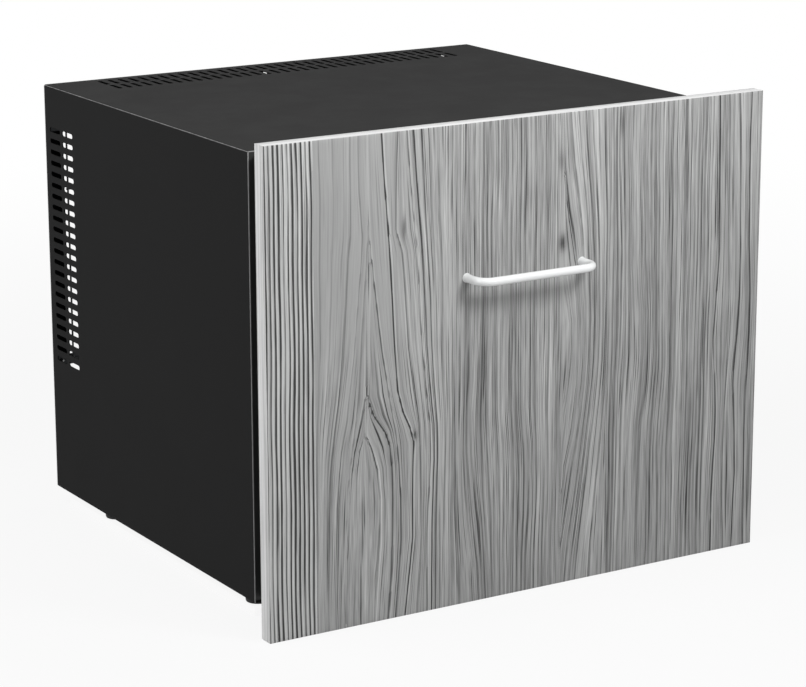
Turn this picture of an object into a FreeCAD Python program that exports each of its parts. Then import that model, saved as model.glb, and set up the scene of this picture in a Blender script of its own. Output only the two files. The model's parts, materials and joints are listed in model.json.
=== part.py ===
import FreeCAD, Part
import math
import os

from FreeCAD import Vector

# A built-in drawer minibar: an insulated steel casing with an open-backed machine compartment, and an
# insulated drawer on telescopic runners whose front carries a wood-look decor panel and a bow handle.
# Working frame, in millimetres: x to the right, y to the back, z up, with y = 0 on the casing's front
# edge and z = 0 on its underside. save() moves every piece to the row's frame, whose origin lies
# under the middle of the whole object.

# ---------------------------------------------------------------- driving dimensions: casing
casingWidth = 510.0
casingHeight = 424.0
casingDepth = 432.0
sheet = 1.0              # folded sheet steel
bendRadius = 2.0         # outside radius of the casing's long top folds
sideFlange = 16.0        # rear return flange on each side
topFlange = 20.0         # rear return flange under the top
bottomFlange = 32.0      # inward flange under the base plate
baseUpturn = 20.0        # rear upturn of the base plate
flangeHoleRadius = 2.5
flangeHoleDrop = 9.5     # wall-fixing holes below the top
flangeHoleSpacing = 222.0

ventLength = 24.0        # slots run front to back
ventWidth = 5.0
ventPitch = 11.38
ventRearInset = 51.8     # front row of slots to the casing's rear
ventRowGap = 28.6        # front row to rear row
sideVentCount = 22
sideVentTopDrop = 44.2   # first side slot below the top
topVentCount = 36
baseVentCount = 22
baseVentGap = 20.5       # first slot in the base, from the supply box

# ---------------------------------------------------------------- driving dimensions: insulated box
sideInsulation = 28.0
rearInsulation = 40.0
nutRoom = 2.0            # radial room in the foam around a foot's nut
compartmentDepth = 69.0  # clear depth behind the bulkhead
linerWall = 2.0
linerCorner = 12.0
linerFlange = 12.0
linerLip = 4.0           # inner part of the flange, next to the mouth
frameRecess = 0.5        # front frame behind the casing's front edge
frameThickness = 2.5

# ---------------------------------------------------------------- driving dimensions: feet and screws
footRadius = 12.5
footHeight = 9.0
footSideInset = 18.5
footFrontY = 28.5
footRearInset = 104.0
footRecessRadius = 6.0
footRecessDepth = 4.5
footBoltRadius = 2.5
footBoltHeadRadius = 4.4
footBoltHeadHeight = 3.0
footNutAcross = 8.0
footNutHeight = 4.0
footChamfer = 1.2
footDraft = 1.0          # the foot's underside is this much smaller in radius
boltTip = 1.0            # bolt past its nut
baseScrewFrontY = 60.0
baseScrewRearInset = 40.0
screwRadius = 1.9
screwHeadRadius = 3.6
screwHeadHeight = 2.2
screwGrip = 4.0          # how far a sheet screw reaches past what it holds
pilotGrip = 10.0         # how far a screw reaches into wood, foam or moulding
screwFit = 0.08          # radial clearance of a screw in its hole

# ---------------------------------------------------------------- driving dimensions: drawer front
doorInset = 3.0          # door pan inside the casing's outline
doorThickness = 37.0     # pan front to liner plate
doorGap = 10.0           # casing front to the pan's rear edge
doorLip = 10.0
doorLinerWall = 2.0
plugProud = 6.0          # door plug into the cavity
plugClearance = 10.0
gasketInset = 5.0
gasketWidth = 16.0
gasketWall = 1.5
gasketGap = 0.3          # gasket to front frame
magnetStripWidth = 9.0
magnetStripThickness = 3.0
panelThickness = 16.0
panelSideOverhang = 19.0
panelEndOverhang = 16.5
edgeBandThickness = 1.0
panelChamfer = 0.35
handleSpacing = 128.0
handleRadius = 4.0
handleProjection = 26.0  # bar axis in front of the panel
handleBend = 14.0
handleDrop = 143.0       # handle below the panel's top edge
handleScrewRadius = 2.0
handleScrewDepth = 12.0
handleScrewHeadRadius = 3.8
handleScrewHeadHeight = 2.6
handleCounterbore = 4.2
handleCounterboreFit = 0.4
bracketWidth = 40.0
bracketThickness = 1.5
bracketLeg = 14.0
bracketSpacing = 340.0
bracketEdgeGap = 3.0     # bracket's upright leg short of the panel's edge
bracketScrewSpacing = 20.0
bracketScrewSetback = 8.4

# ---------------------------------------------------------------- driving dimensions: runners, drawer
runnerRise = 118.0       # runner axis above the cavity's floor
runnerDepth = 12.7       # liner wall to drawer rail
runnerStart = 12.0
runnerRearGap = 8.0      # members short of the cavity's rear wall
runnerScrewInset = 24.0  # first and last fixing screw from the member's ends
middleHoleRadius = 3.5
middleHoleInset = 40.0
runnerSheet = 1.2
outerHalf = 17.5         # half heights of the three members
middleHalf = 12.4
innerHalf = 7.3
outerReach = 11.0
middleStart = 2.2
middleReach = 11.5
innerStart = 5.0
middleSetback = 1.0
ballRadius = 1.75
ballsPerRow = 6
ballPitch = 22.0
cageStart = 88.0
cageLength = 130.0
cageSheet = 0.7
cageHoleFit = 0.1
railSheet = 1.5
railHeight = 30.0
railTab = 34.0
railTabHeight = 80.0
railScrewInset = 10.0
basketWall = 2.5
basketRearGap = 24.5     # basket short of the cavity's rear wall
basketFloorGap = 10.0
basketHeight = 130.0
basketCorner = 14.0
basketFrontGap = 4.0
basketSlotLength = 40.0
basketSlotWidth = 5.0
basketSlotPitch = 14.0
basketSlotRows = 5
basketSlotRowPitch = 52.0
basketSlotEdge = 12.0    # outermost slot from the basket's wall
basketWallSlotHeight = 58.0
basketScrewInset = 26.0
dividerThickness = 2.5
dividerSetback = 138.5   # divider behind the basket's front
dividerFit = 0.5
dividerCap = 10.0
dividerCapHeight = 2.5
dividerWindowLength = 70.0
dividerWindowWidth = 14.0
dividerWindowPitch = 34.0
dividerWindowCount = 11
dividerWindowRise = 65.0

# ---------------------------------------------------------------- driving dimensions: cooling
coolDrop = 108.0         # cold block and both fans below the cavity's ceiling
blockSide = 46.0
blockFit = 1.0
moduleSide = 40.0
moduleThickness = 3.8
moduleGap = 0.8          # cold block short of the bulkhead's front face
sinkBase = 6.0
hotSinkHalfWidth = 78.0
hotSinkHalfHeight = 92.0
hotFinHeight = 26.0
hotFinPitch = 5.2
coldSinkHalf = 48.0
coldFinHeight = 24.0
coldFinPitch = 5.2
finThickness = 1.6
clampSpacing = 64.0
hotFanSide = 92.0
hotFanThickness = 25.0
coldFanSide = 80.0
coldFanThickness = 15.0
fanGap = 1.5
fanFloor = 3.0
fanHubShare = 0.38
fanBladeCount = 7
fanBladeThickness = 1.6
fanBladePitch = 38.0
fanTipGap = 1.2
fanHoleInset = 4.75      # fan's screw holes from its sides
fanCorner = 4.0
fanStrut = 4.0
fanRimWall = 2.0         # thinnest wall beside the duct
fanWaistInset = 12.0
fanWaistDepth = 6.0
fanAxialGap = 0.5
fanHubEdge = 1.5
coverMargin = 12.0
coverWall = 2.0
coverSlot = 4.0
coverSlotPitch = 8.0
coverCorner = 6.0
coverFrontGap = 1.0      # clear of the fan's screw heads
coverSideSlotLength = 20.0
coverSideSlotPitch = 16.0
coverSideSlotCount = 7

guardWire = 1.0          # wire radius
guardSideGap = 20.6      # outermost upright wire to the casing's outside
guardTopDrop = 43.0      # top level wire below the casing's top
guardInnerHalf = 56.5
guardOuterHalf = 123.0
guardVerticals = 17
guardTab = 11.0
guardTabGap = 1.0        # tab's outer end short of the casing's side

# ---------------------------------------------------------------- driving dimensions: electrics
supplyWidth = 120.0
supplyHeight = 84.0
supplyDepth = 46.0
supplySideGap = 54.0     # supply box to the casing's side
supplyWall = 2.0
supplyRearGap = 8.0
supplyPost = 8.0
supplyScrewInset = 6.0
supplyScrewHeadRadius = 3.0
supplyScrewHeadHeight = 1.8
supplyCorner = 2.0
supplyVentLength = 24.0
supplyVentWidth = 3.0
supplyVentPitch = 10.0
supplyVentCount = 9
supplyFixSpacing = 70.0
inletRise = 6.0          # inlet and dial above the middle of the cover
inletWidth = 27.5
inletHeight = 20.0
inletDepth = 22.0
inletFlangeWidth = 50.0
inletFlangeHeight = 24.0
inletFlangeThickness = 3.0
inletCavityWall = 2.0
inletPinWidth = 4.0
inletPinThickness = 2.0
inletPinSpacing = 7.0
inletPinRecess = 7.0
inletPinRise = 3.0
inletPinDrop = 1.0
inletCorner = 2.5
inletFit = 0.2
inletOffset = -25.0
dialRadius = 12.0
dialHeight = 7.0
dialShaftRadius = 3.0
dialOffset = 34.0
dialFit = 0.05
dialGap = 0.3
dialShaftLength = 6.0    # shaft inside the cover
dialFluteRadius = 1.2
dialFluteCount = 18
dialFluteStart = 1.5
dialNotchWidth = 1.6
dialNotchDepth = 1.0
dialNotchStart = 2.0
boardThickness = 1.6
boardStandoff = 6.0
boardMargin = 12.0
transformerSide = 24.0
transformerHeight = 14.0
coilRadius = 8.0
coilHeight = 5.0
capacitorRadius = 4.5
capacitorHeight = 10.0
capacitorPitch = 12.0
relaySide = 12.0
partGap = 6.0            # between the board's edge and its parts
lampWidth = 84.0
lampDepth = 26.0
lampHeight = 12.0
lampWall = 1.6
lampY = 26.0
lampFit = 0.2
lampCorner = 4.0
lensThickness = 2.0
lensProud = 0.6
lampBoardMargin = 3.0
diodeLength = 3.5
diodeWidth = 2.8
diodeHeight = 1.2
diodePitch = 16.0
switchWidth = 24.0
switchHeight = 8.0
switchDepth = 7.0
switchX = 120.0
switchSetback = 12.0
switchEdge = 1.0
magnetRadius = 5.0
magnetThickness = 3.0
magnetFit = 0.2

# ---------------------------------------------------------------- places worked out from them
halfWidth = casingWidth / 2
innerHalfWidth = halfWidth - sheet                 # inside face of the casing's side
floorTop = 2 * sheet                               # base plate's upper face
ceiling = casingHeight - sheet
bulkheadRear = casingDepth - sheet - compartmentDepth + sheet
bulkheadFront = bulkheadRear - sheet
frameFront = frameRecess
flangeFront = frameFront + frameThickness          # liner flange's front face
jacketFront = flangeFront + linerWall
cavityHalf = innerHalfWidth - sideInsulation - linerWall
cavityFloor = floorTop + sideInsulation + linerWall
cavityTop = ceiling - sideInsulation - linerWall
cavityRear = bulkheadFront - rearInsulation - linerWall
doorRear = -doorGap                                # pan's rear edge, liner plate's front face
doorPlateRear = doorRear + doorLinerWall
doorFront = doorRear - doorThickness
panelFront = doorFront - panelThickness
plugHalf = cavityHalf - plugClearance
plugBottom = cavityFloor + plugClearance
plugTop = cavityTop - plugClearance
doorHalf = halfWidth - doorInset
doorBottom = doorInset
doorTop = casingHeight - doorInset
panelHalf = halfWidth + panelSideOverhang
panelBottom = -panelEndOverhang
panelTop = casingHeight + panelEndOverhang
handleFront = panelFront - handleProjection - handleRadius
overallRear = casingDepth + screwHeadHeight        # heads of the guard's screws
originY = (handleFront + overallRear) / 2
handleHeight = panelTop - handleDrop
ventFrontY = casingDepth - ventRearInset
footRearY = casingDepth - footRearInset
guardHalfWidth = halfWidth - guardSideGap
guardCentre = casingHeight - guardTopDrop - guardOuterHalf
coolHeight = cavityTop - coolDrop
runnerHeight = cavityFloor + runnerRise
runnerLength = cavityRear - runnerRearGap - runnerStart
toRowFrame = Vector(0, -originY, -panelBottom)
moduleFront = bulkheadFront - moduleGap + sheet
hotBaseFront = moduleFront + moduleThickness
hotBaseRear = hotBaseFront + sinkBase
hotFinRear = hotBaseRear + hotFinHeight
hotFanFront = hotFinRear + fanGap
coldBaseFront = cavityRear - sinkBase
coldFinFront = coldBaseFront - coldFinHeight
coldFanFront = coldFinFront - fanGap - coldFanThickness
coverFrontY = coldFanFront - screwHeadHeight - coverFrontGap - coverWall
basketHalf = cavityHalf - runnerDepth - railSheet
basketFront = plugProud + railSheet + basketFrontGap
basketDepth = cavityRear - basketRearGap - basketFront
basketBottom = cavityFloor + basketFloorGap
basketTop = basketBottom + basketHeight
dividerY = basketFront + dividerSetback
supplyCentre = supplySideGap + supplyWidth / 2 - innerHalfWidth
supplyLeft = supplyCentre - supplyWidth / 2
supplyRight = supplyCentre + supplyWidth / 2
supplyTop = floorTop + supplyHeight
supplyRear = casingDepth - 2 * sheet - supplyRearGap
supplyFront = supplyRear - supplyDepth
supplyMiddle = floorTop + supplyHeight / 2 + inletRise
coverFront = supplyRear - supplyWall
inletX = supplyCentre + inletOffset
dialX = supplyCentre + dialOffset
runnerScrewLength = runnerSheet + linerWall + pilotGrip
axisX = Vector(1, 0, 0)
axisY = Vector(0, 1, 0)
axisZ = Vector(0, 0, 1)


# ---------------------------------------------------------------- small helpers
def box(x0, x1, y0, y1, z0, z1):
    return Part.makeBox(x1 - x0, y1 - y0, z1 - z0, Vector(x0, y0, z0))


def rod(radius, start, axis, length):
    return Part.makeCylinder(radius, length, Vector(*start), axis)


def fuse(first, *others):
    return first.multiFuse(list(others)).removeSplitter()


def cut(shape, tools):
    return shape.cut(Part.makeCompound(list(tools)))


def mirrored(shape):
    """The shape's mirror image across the middle plane x = 0."""
    return shape.mirror(Vector(0, 0, 0), axisX)


def roundedAlongY(shape, radius):
    """Rounds every straight edge that runs front to back."""
    edges = [e for e in shape.Edges if abs(e.tangentAt(e.FirstParameter).dot(axisY)) > 0.999]
    return shape.makeFillet(radius, edges)


def roundedAlongZ(shape, radius):
    """Rounds every straight upright edge."""
    edges = [e for e in shape.Edges if abs(e.tangentAt(e.FirstParameter).dot(axisZ)) > 0.999]
    return shape.makeFillet(radius, edges)


def frameRing(xOuter, zLow, zHigh, width, y0, y1):
    """A flat rectangular ring in the xz plane, width wide, from y0 to y1."""
    outer = box(-xOuter, xOuter, y0, y1, zLow, zHigh)
    inner = box(-xOuter + width, xOuter - width, y0 - 1, y1 + 1, zLow + width, zHigh - width)
    return outer.cut(inner)


def slot(centre, length, width, depth, along, through):
    """A slot cutter with round ends: it runs along one axis and cuts through another."""
    half = along * ((length - width) / 2)
    start = Vector(*centre) - through * (depth / 2)
    ends = [Part.makeCylinder(width / 2, depth, start + half, through),
            Part.makeCylinder(width / 2, depth, start - half, through)]
    across = through.cross(along)
    corner = start - half - across * (width / 2)
    face = Part.makePolygon([corner, corner + half * 2, corner + half * 2 + across * width,
                             corner + across * width, corner])
    return Part.Face(face).extrude(through * depth).multiFuse(ends).removeSplitter()


def screw(start, axis, length, radius=screwRadius, headRadius=screwHeadRadius,
          headHeight=screwHeadHeight):
    """A pan-head screw: start is the centre under the head, and the shank runs along axis."""
    head = Part.makeCylinder(headRadius, headHeight, Vector(*start) - axis * headHeight, axis)
    slotTool = Part.makeCylinder(headRadius * 0.35, headHeight / 2,
                                 Vector(*start) - axis * headHeight, axis)
    shank = Part.makeCylinder(radius, length, Vector(*start), axis)
    return fuse(head, shank).cut(slotTool)


def flatScrew(start, axis, length, depth):
    """A countersunk screw whose head is flush: start is the centre of the head's face."""
    head = Part.makeCone(screwHeadRadius, screwRadius, depth, Vector(*start), axis)
    shank = Part.makeCylinder(screwRadius, length, Vector(*start), axis)
    return fuse(head, shank)


def screwHole(start, axis, length, radius=screwRadius):
    """A clearance hole that begins a little before start."""
    return Part.makeCylinder(radius + screwFit, length + 1, Vector(*start) - axis, axis)


def save(name, *shapes):
    """Writes one node, as one solid or as a group of separate solids, in the row's frame."""
    solids = [solid.copy() for shape in shapes for solid in shape.Solids]
    for solid in solids:
        solid.translate(toRowFrame)
    shape = solids[0] if len(solids) == 1 else Part.makeCompound(solids)
    shape.exportStep(os.path.join("parts", name + ".step"))
    print(name, len(solids), "solids", round(sum(s.Volume for s in solids) / 1000, 2), "cm3")


# ---------------------------------------------------------------- casing
baseScrewPlaces = [(side * (innerHalfWidth - sheet - screwHeadRadius), y)
                   for side in (-1, 1)
                   for y in (baseScrewFrontY, (baseScrewFrontY + casingDepth - baseScrewRearInset) / 2,
                             casingDepth - baseScrewRearInset)]
footPlaces = {"foot_front_left": (-1, footFrontY), "foot_front_right": (1, footFrontY),
              "foot_rear_left": (-1, footRearY), "foot_rear_right": (1, footRearY)}
guardScrewPlaces = [(side * (innerHalfWidth - sideFlange / 2), guardCentre + updown * guardOuterHalf)
                    for side in (-1, 1) for updown in (-1, 1)]


def footAxis(side, y):
    return side * (halfWidth - footSideInset), y


def footHoles(z0, z1):
    return [rod(footBoltRadius + screwFit, (*footAxis(side, y), z0), axisZ, z1 - z0)
            for side, y in footPlaces.values()]


def ventRows():
    return (ventFrontY, ventFrontY + ventRowGap)


def sideVents():
    cutters = []
    for row in range(sideVentCount):
        z = casingHeight - sideVentTopDrop - row * ventPitch
        for y in ventRows():
            cutters.append(slot((halfWidth, y, z), ventLength, ventWidth, 6 * sheet, axisY, axisX))
    return cutters + [mirrored(c) for c in cutters]


def topVents():
    first = -(topVentCount - 1) * ventPitch / 2
    return [slot((first + i * ventPitch, y, casingHeight), ventLength, ventWidth, 6 * sheet,
                 axisY, axisZ) for i in range(topVentCount) for y in ventRows()]


def outerCasing():
    outer = box(-halfWidth, halfWidth, 0, casingDepth, 0, casingHeight)
    longTop = [e for e in outer.Edges
               if abs(e.tangentAt(e.FirstParameter).dot(axisY)) > 0.999
               and e.BoundBox.ZMin > casingHeight / 2]
    outer = outer.makeFillet(bendRadius, longTop)
    inner = box(-innerHalfWidth, innerHalfWidth, -1, casingDepth - sheet, sheet, ceiling)
    longTop = [e for e in inner.Edges
               if abs(e.tangentAt(e.FirstParameter).dot(axisY)) > 0.999
               and e.BoundBox.ZMin > casingHeight / 2]
    inner = inner.makeFillet(bendRadius - sheet, longTop)
    rearOpening = box(-halfWidth + sideFlange, halfWidth - sideFlange, casingDepth - 2 * sheet,
                      casingDepth + 1, -1, casingHeight - topFlange)
    underOpening = box(-halfWidth + bottomFlange, halfWidth - bottomFlange, -1, casingDepth + 1,
                       -1, 2 * sheet)
    shell = outer.cut(inner.multiFuse([rearOpening, underOpening]))
    holes = footHoles(-1, floorTop)
    holes += [screwHole((x, y, 0), axisZ, sheet) for x, y in baseScrewPlaces]
    holes += [screwHole((x, casingDepth, z), -axisY, 2 * sheet) for x, z in guardScrewPlaces]
    holes += [rod(flangeHoleRadius, (x, casingDepth - 2 * sheet, casingHeight - flangeHoleDrop),
                  axisY, 3 * sheet) for x in (-flangeHoleSpacing, 0, flangeHoleSpacing)]
    return cut(cut(shell, sideVents() + topVents()), holes)


def basePlate():
    plate = box(-innerHalfWidth, innerHalfWidth, 0, casingDepth - sheet, sheet, floorTop)
    upturn = box(-innerHalfWidth, innerHalfWidth, casingDepth - 2 * sheet, casingDepth - sheet,
                 floorTop, baseUpturn)
    first = supplyRight + baseVentGap
    holes = [slot((first + i * ventPitch, ventFrontY + ventRowGap / 2, sheet), ventLength,
                  ventWidth, 6 * sheet, axisY, axisZ) for i in range(baseVentCount)]
    holes += footHoles(0, floorTop + 1)
    holes += [screwHole((x, y, 0), axisZ, 3 * sheet) for x, y in baseScrewPlaces + supplyFixPlaces]
    return cut(fuse(plate, upturn), holes)


def nutPockets():
    """Room in the foam over each foot's nut and each base screw's tip."""
    radius = footNutAcross / math.sqrt(3) + nutRoom
    pockets = [rod(radius, (*footAxis(side, y), floorTop), axisZ, footNutHeight + boltTip + nutRoom)
               for side, y in footPlaces.values()]
    return pockets + [rod(screwRadius + screwFit, (x, y, floorTop), axisZ, screwGrip + 1)
                      for x, y in baseScrewPlaces]


def foot(side, y):
    x, y = footAxis(side, y)
    body = Part.makeCone(footRadius - footDraft, footRadius, footHeight, Vector(x, y, -footHeight),
                         axisZ)
    lowEdge = [e for e in body.Edges if e.BoundBox.ZMax < -footHeight / 2]
    body = body.makeFillet(footChamfer, lowEdge)
    recess = rod(footRecessRadius, (x, y, -footHeight - 1), axisZ, footRecessDepth + 1)
    hole = rod(footBoltRadius + screwFit, (x, y, -footHeight), axisZ, footHeight + 1)
    return body.cut(recess).cut(hole)


def footBolts():
    solids = []
    underHead = -footHeight + footRecessDepth
    for side, y in footPlaces.values():
        x, y = footAxis(side, y)
        solids.append(screw((x, y, underHead), axisZ, floorTop + footNutHeight + boltTip - underHead,
                            footBoltRadius, footBoltHeadRadius, footBoltHeadHeight))
        corner = footNutAcross / math.sqrt(3)
        outline = [Vector(x + corner * math.cos(math.radians(60 * i)),
                          y + corner * math.sin(math.radians(60 * i)), floorTop) for i in range(7)]
        nut = Part.Face(Part.makePolygon(outline)).extrude(axisZ * footNutHeight)
        thread = rod(footBoltRadius + screwFit, (x, y, 0), axisZ, floorTop + footNutHeight + 1)
        solids.append(nut.cut(thread))
    return solids


def casingScrews():
    solids = [screw((x, y, 0), axisZ, floorTop + screwGrip) for x, y in baseScrewPlaces]
    solids += [screw((x, y, sheet), axisZ, sheet + screwGrip) for x, y in supplyFixPlaces]
    solids += [screw((x, casingDepth, z), -axisY, 2 * sheet + screwGrip) for x, z in guardScrewPlaces]
    return solids + supplyScrews()


def wireGuard():
    """Upright wires spot-welded in front of four level ones, whose ends sit on flat screw tabs."""
    tabRear = casingDepth - sheet
    levelY = tabRear - sheet - guardWire
    uprightY = levelY - 2 * guardWire
    tabHoles = [screwHole((x, casingDepth, z), -axisY, 3 * sheet) for x, z in guardScrewPlaces]
    solids = []
    for z in [guardCentre + s * h for s in (-1, 1) for h in (guardInnerHalf, guardOuterHalf)]:
        reach = guardHalfWidth + guardWire
        solids.append(rod(guardWire, (-reach, levelY, z), axisX, 2 * reach))
    low = guardCentre - guardOuterHalf - 2 * guardWire
    tall = 2 * guardOuterHalf + 4 * guardWire
    for i in range(guardVerticals):
        x = -guardHalfWidth + i * 2 * guardHalfWidth / (guardVerticals - 1)
        solids.append(rod(guardWire, (x, uprightY, low), axisZ, tall))
    for x, z in guardScrewPlaces:
        inner = guardHalfWidth - guardTab
        outer = innerHalfWidth - guardTabGap
        x0, x1 = (inner, outer) if x > 0 else (-outer, -inner)
        tab = box(x0, x1, tabRear - sheet, tabRear, z - guardTab / 2, z + guardTab / 2)
        solids.append(cut(tab, tabHoles))
    return solids


# ---------------------------------------------------------------- insulated box
def cavity(grow):
    """The cooled space, or the liner's outside where grow is its wall."""
    shape = box(-cavityHalf - grow, cavityHalf + grow, flangeFront, cavityRear + grow,
                cavityFloor - grow, cavityTop + grow)
    return roundedAlongY(shape, linerCorner + grow)


def clampPlaces():
    half = clampSpacing / 2
    return [(sx * half, coolHeight + sz * half) for sx in (-1, 1) for sz in (-1, 1)]


def clampHoles(y0, y1):
    return [rod(screwRadius + screwFit, (x, y0, z), axisY, y1 - y0) for x, z in clampPlaces()]


def blockHole(y0, y1, grow):
    half = blockSide / 2 + grow
    return box(-half, half, y0, y1, coolHeight - half, coolHeight + half)


def runnerScrewPlaces():
    first = runnerStart + runnerScrewInset
    last = runnerStart + runnerLength - runnerScrewInset
    return [first, (first + last) / 2, last]


def runnerScrewHoles():
    """Holes in the liner's sides and pilots in the foam behind them."""
    right = [rod(screwRadius + screwFit, (cavityHalf - runnerSheet, y, runnerHeight), axisX,
                 runnerScrewLength + 1) for y in runnerScrewPlaces()]
    return right + [mirrored(h) for h in right]


def innerLiner():
    flange = frameRing(cavityHalf + linerFlange, cavityFloor - linerFlange, cavityTop + linerFlange,
                       linerFlange - linerLip, flangeFront, jacketFront)
    lip = box(-cavityHalf - linerLip, cavityHalf + linerLip, flangeFront, jacketFront,
              cavityFloor - linerLip, cavityTop + linerLip)
    shell = fuse(cavity(linerWall), flange, lip)
    openFront = cavity(0)
    holes = [blockHole(cavityRear - 1, cavityRear + linerWall + 1, blockFit)]
    holes += clampHoles(cavityRear - 1, cavityRear + linerWall + 1) + runnerScrewHoles()
    return cut(shell.cut(openFront), holes)


def insulationJacket():
    block = box(-innerHalfWidth, innerHalfWidth, jacketFront, bulkheadFront, floorTop, ceiling)
    block = roundTop(block)
    inside = cavity(linerWall).multiFuse([box(-cavityHalf - linerWall, cavityHalf + linerWall,
                                              jacketFront - 1, jacketFront + 1,
                                              cavityFloor + linerCorner, cavityTop - linerCorner)])
    holes = [blockHole(cavityRear, bulkheadFront + 1, 0)]
    holes += clampHoles(cavityRear, bulkheadFront + 1) + nutPockets()
    return cut(block.cut(inside), holes + runnerScrewHoles())


def roundTop(block):
    """Follows the inside of the casing's long top folds."""
    edges = [e for e in block.Edges if abs(e.tangentAt(e.FirstParameter).dot(axisY)) > 0.999
             and e.BoundBox.ZMin > casingHeight / 2]
    return block.makeFillet(bendRadius - sheet, edges)


def frontFrame():
    face = roundTop(box(-innerHalfWidth, innerHalfWidth, frameFront, jacketFront, floorTop, ceiling))
    opening = roundedAlongY(box(-cavityHalf, cavityHalf, frameFront - 1, jacketFront + 1,
                                cavityFloor, cavityTop), linerCorner)
    seat = box(-cavityHalf - linerFlange, cavityHalf + linerFlange, flangeFront, jacketFront + 1,
               cavityFloor - linerFlange, cavityTop + linerFlange)
    return face.cut(opening).cut(seat)


def bulkhead():
    plate = roundTop(box(-innerHalfWidth, innerHalfWidth, bulkheadFront, bulkheadRear, floorTop,
                         ceiling))
    holes = [blockHole(bulkheadFront - 1, bulkheadRear + 1, blockFit)]
    return cut(plate, holes + clampHoles(bulkheadFront - 1, bulkheadRear + 1))


# ---------------------------------------------------------------- cooling
def finned(halfWidth_, halfHeight_, baseY0, baseY1, finY0, finY1, pitch):
    """A plate with upright fins: it is cut from one block by the gaps between the fins."""
    base = box(-halfWidth_, halfWidth_, baseY0, baseY1, coolHeight - halfHeight_,
               coolHeight + halfHeight_)
    count = int(2 * halfWidth_ // pitch)
    first = -(count - 1) * pitch / 2
    fins = [box(first + i * pitch - finThickness / 2, first + i * pitch + finThickness / 2,
                min(finY0, finY1), max(finY0, finY1), coolHeight - halfHeight_,
                coolHeight + halfHeight_) for i in range(count)]
    return base.multiFuse(fins).removeSplitter()


def hotSink():
    sink = finned(hotSinkHalfWidth, hotSinkHalfHeight, hotBaseFront, hotBaseRear, hotBaseRear,
                  hotFinRear, hotFinPitch)
    wells = [rod(screwHeadRadius + fanGap, (x, hotBaseRear, z), axisY, hotFinHeight + 1)
             for x, z in clampPlaces()]
    return cut(cut(sink, wells), clampHoles(hotBaseFront - 1, hotBaseRear + 1)
               + fanScrewHoles(hotFanSide, hotFinRear - screwGrip - 1, hotFinRear + 1))


def coldSink():
    sink = finned(coldSinkHalf, coldSinkHalf, coldBaseFront, cavityRear, coldFinFront,
                  coldBaseFront, coldFinPitch)
    return cut(sink, clampHoles(coldBaseFront - screwGrip - 1, cavityRear + 1)
               + fanScrewHoles(coldFanSide, coldFinFront - 1, coldFinFront + screwGrip + 1))


def clampScrews():
    """Long screws that draw the two sinks together through the foam."""
    length = hotBaseRear - coldBaseFront + screwGrip
    return [screw((x, hotBaseRear, z), -axisY, length) for x, z in clampPlaces()]


def fanScrewSpacing(side):
    return side / 2 - fanHoleInset


def fanScrewPlaces(side):
    half = fanScrewSpacing(side)
    return [(sx * half, coolHeight + sz * half) for sx in (-1, 1) for sz in (-1, 1)]


def fanScrewHoles(side, y0, y1):
    return [rod(screwRadius + screwFit, (x, y0, z), axisY, y1 - y0) for x, z in fanScrewPlaces(side)]


def fanFrame(side, thickness, front, floorAtRear):
    """A square fan housing: a round duct, four corner holes, and a hub plate on three struts."""
    half = side / 2
    rear = front + thickness
    duct = rod(half - fanRimWall, (0, front - 1, coolHeight), axisY, thickness + 2)
    block = roundedAlongY(box(-half, half, front, rear, coolHeight - half, coolHeight + half),
                          fanCorner)
    waist = [box(sx * half - fanWaistDepth, sx * half + fanWaistDepth, front + fanFloor,
                 rear - fanFloor, coolHeight - half + fanWaistInset, coolHeight + half - fanWaistInset)
             for sx in (-1, 1)]
    ring = rod(half - fanRimWall / 2, (0, front, coolHeight), axisY, thickness)
    shell = block.cut(Part.makeCompound(waist)).fuse(ring.common(block)).cut(duct)
    y0 = rear - fanFloor if floorAtRear else front
    hub = rod(half * fanHubShare, (0, y0, coolHeight), axisY, fanFloor)
    struts = []
    for angle in (90, 210, 330):
        bar = box(-fanStrut / 2, fanStrut / 2, y0, y0 + fanFloor, coolHeight,
                  coolHeight + half - fanRimWall / 2)
        bar.rotate(Vector(0, 0, coolHeight), axisY, angle)
        struts.append(bar)
    shell = shell.multiFuse([hub] + struts).removeSplitter()
    return cut(shell, fanScrewHoles(side, front - 1, rear + 1))


def fanRotor(side, thickness, front, floorAtRear):
    """A hub with pitched blades, clear of the duct and of the hub plate."""
    half = side / 2
    hubRadius = half * fanHubShare
    tip = half - fanRimWall - fanTipGap
    y0 = front + fanAxialGap if floorAtRear else front + fanFloor + fanAxialGap
    y1 = y0 + thickness - fanFloor - 2 * fanAxialGap
    hub = rod(hubRadius, (0, y0, coolHeight), axisY, y1 - y0)
    faceY = y0 if floorAtRear else y1
    rim = [e for e in hub.Edges if e.Closed and abs(e.BoundBox.YMin - faceY) < fanAxialGap]
    hub = hub.makeFillet(fanHubEdge, rim)
    middle = (y0 + y1) / 2
    chord = min((y1 - y0 - 1) / math.cos(math.radians(fanBladePitch)),
                2 * math.pi * hubRadius / fanBladeCount)
    blades = []
    for i in range(fanBladeCount):
        blade = box(-fanBladeThickness / 2, fanBladeThickness / 2, middle - chord / 2,
                    middle + chord / 2, coolHeight + hubRadius - 2, coolHeight + half)
        blade.rotate(Vector(0, middle, coolHeight), axisZ, fanBladePitch)
        blade.rotate(Vector(0, 0, coolHeight), axisY, 360 * i / fanBladeCount)
        blades.append(blade)
    bound = rod(tip, (0, y0, coolHeight), axisY, y1 - y0)
    wheel = Part.makeCompound([b.common(bound) for b in blades])
    return hub.multiFuse(wheel.Solids).removeSplitter()


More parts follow.
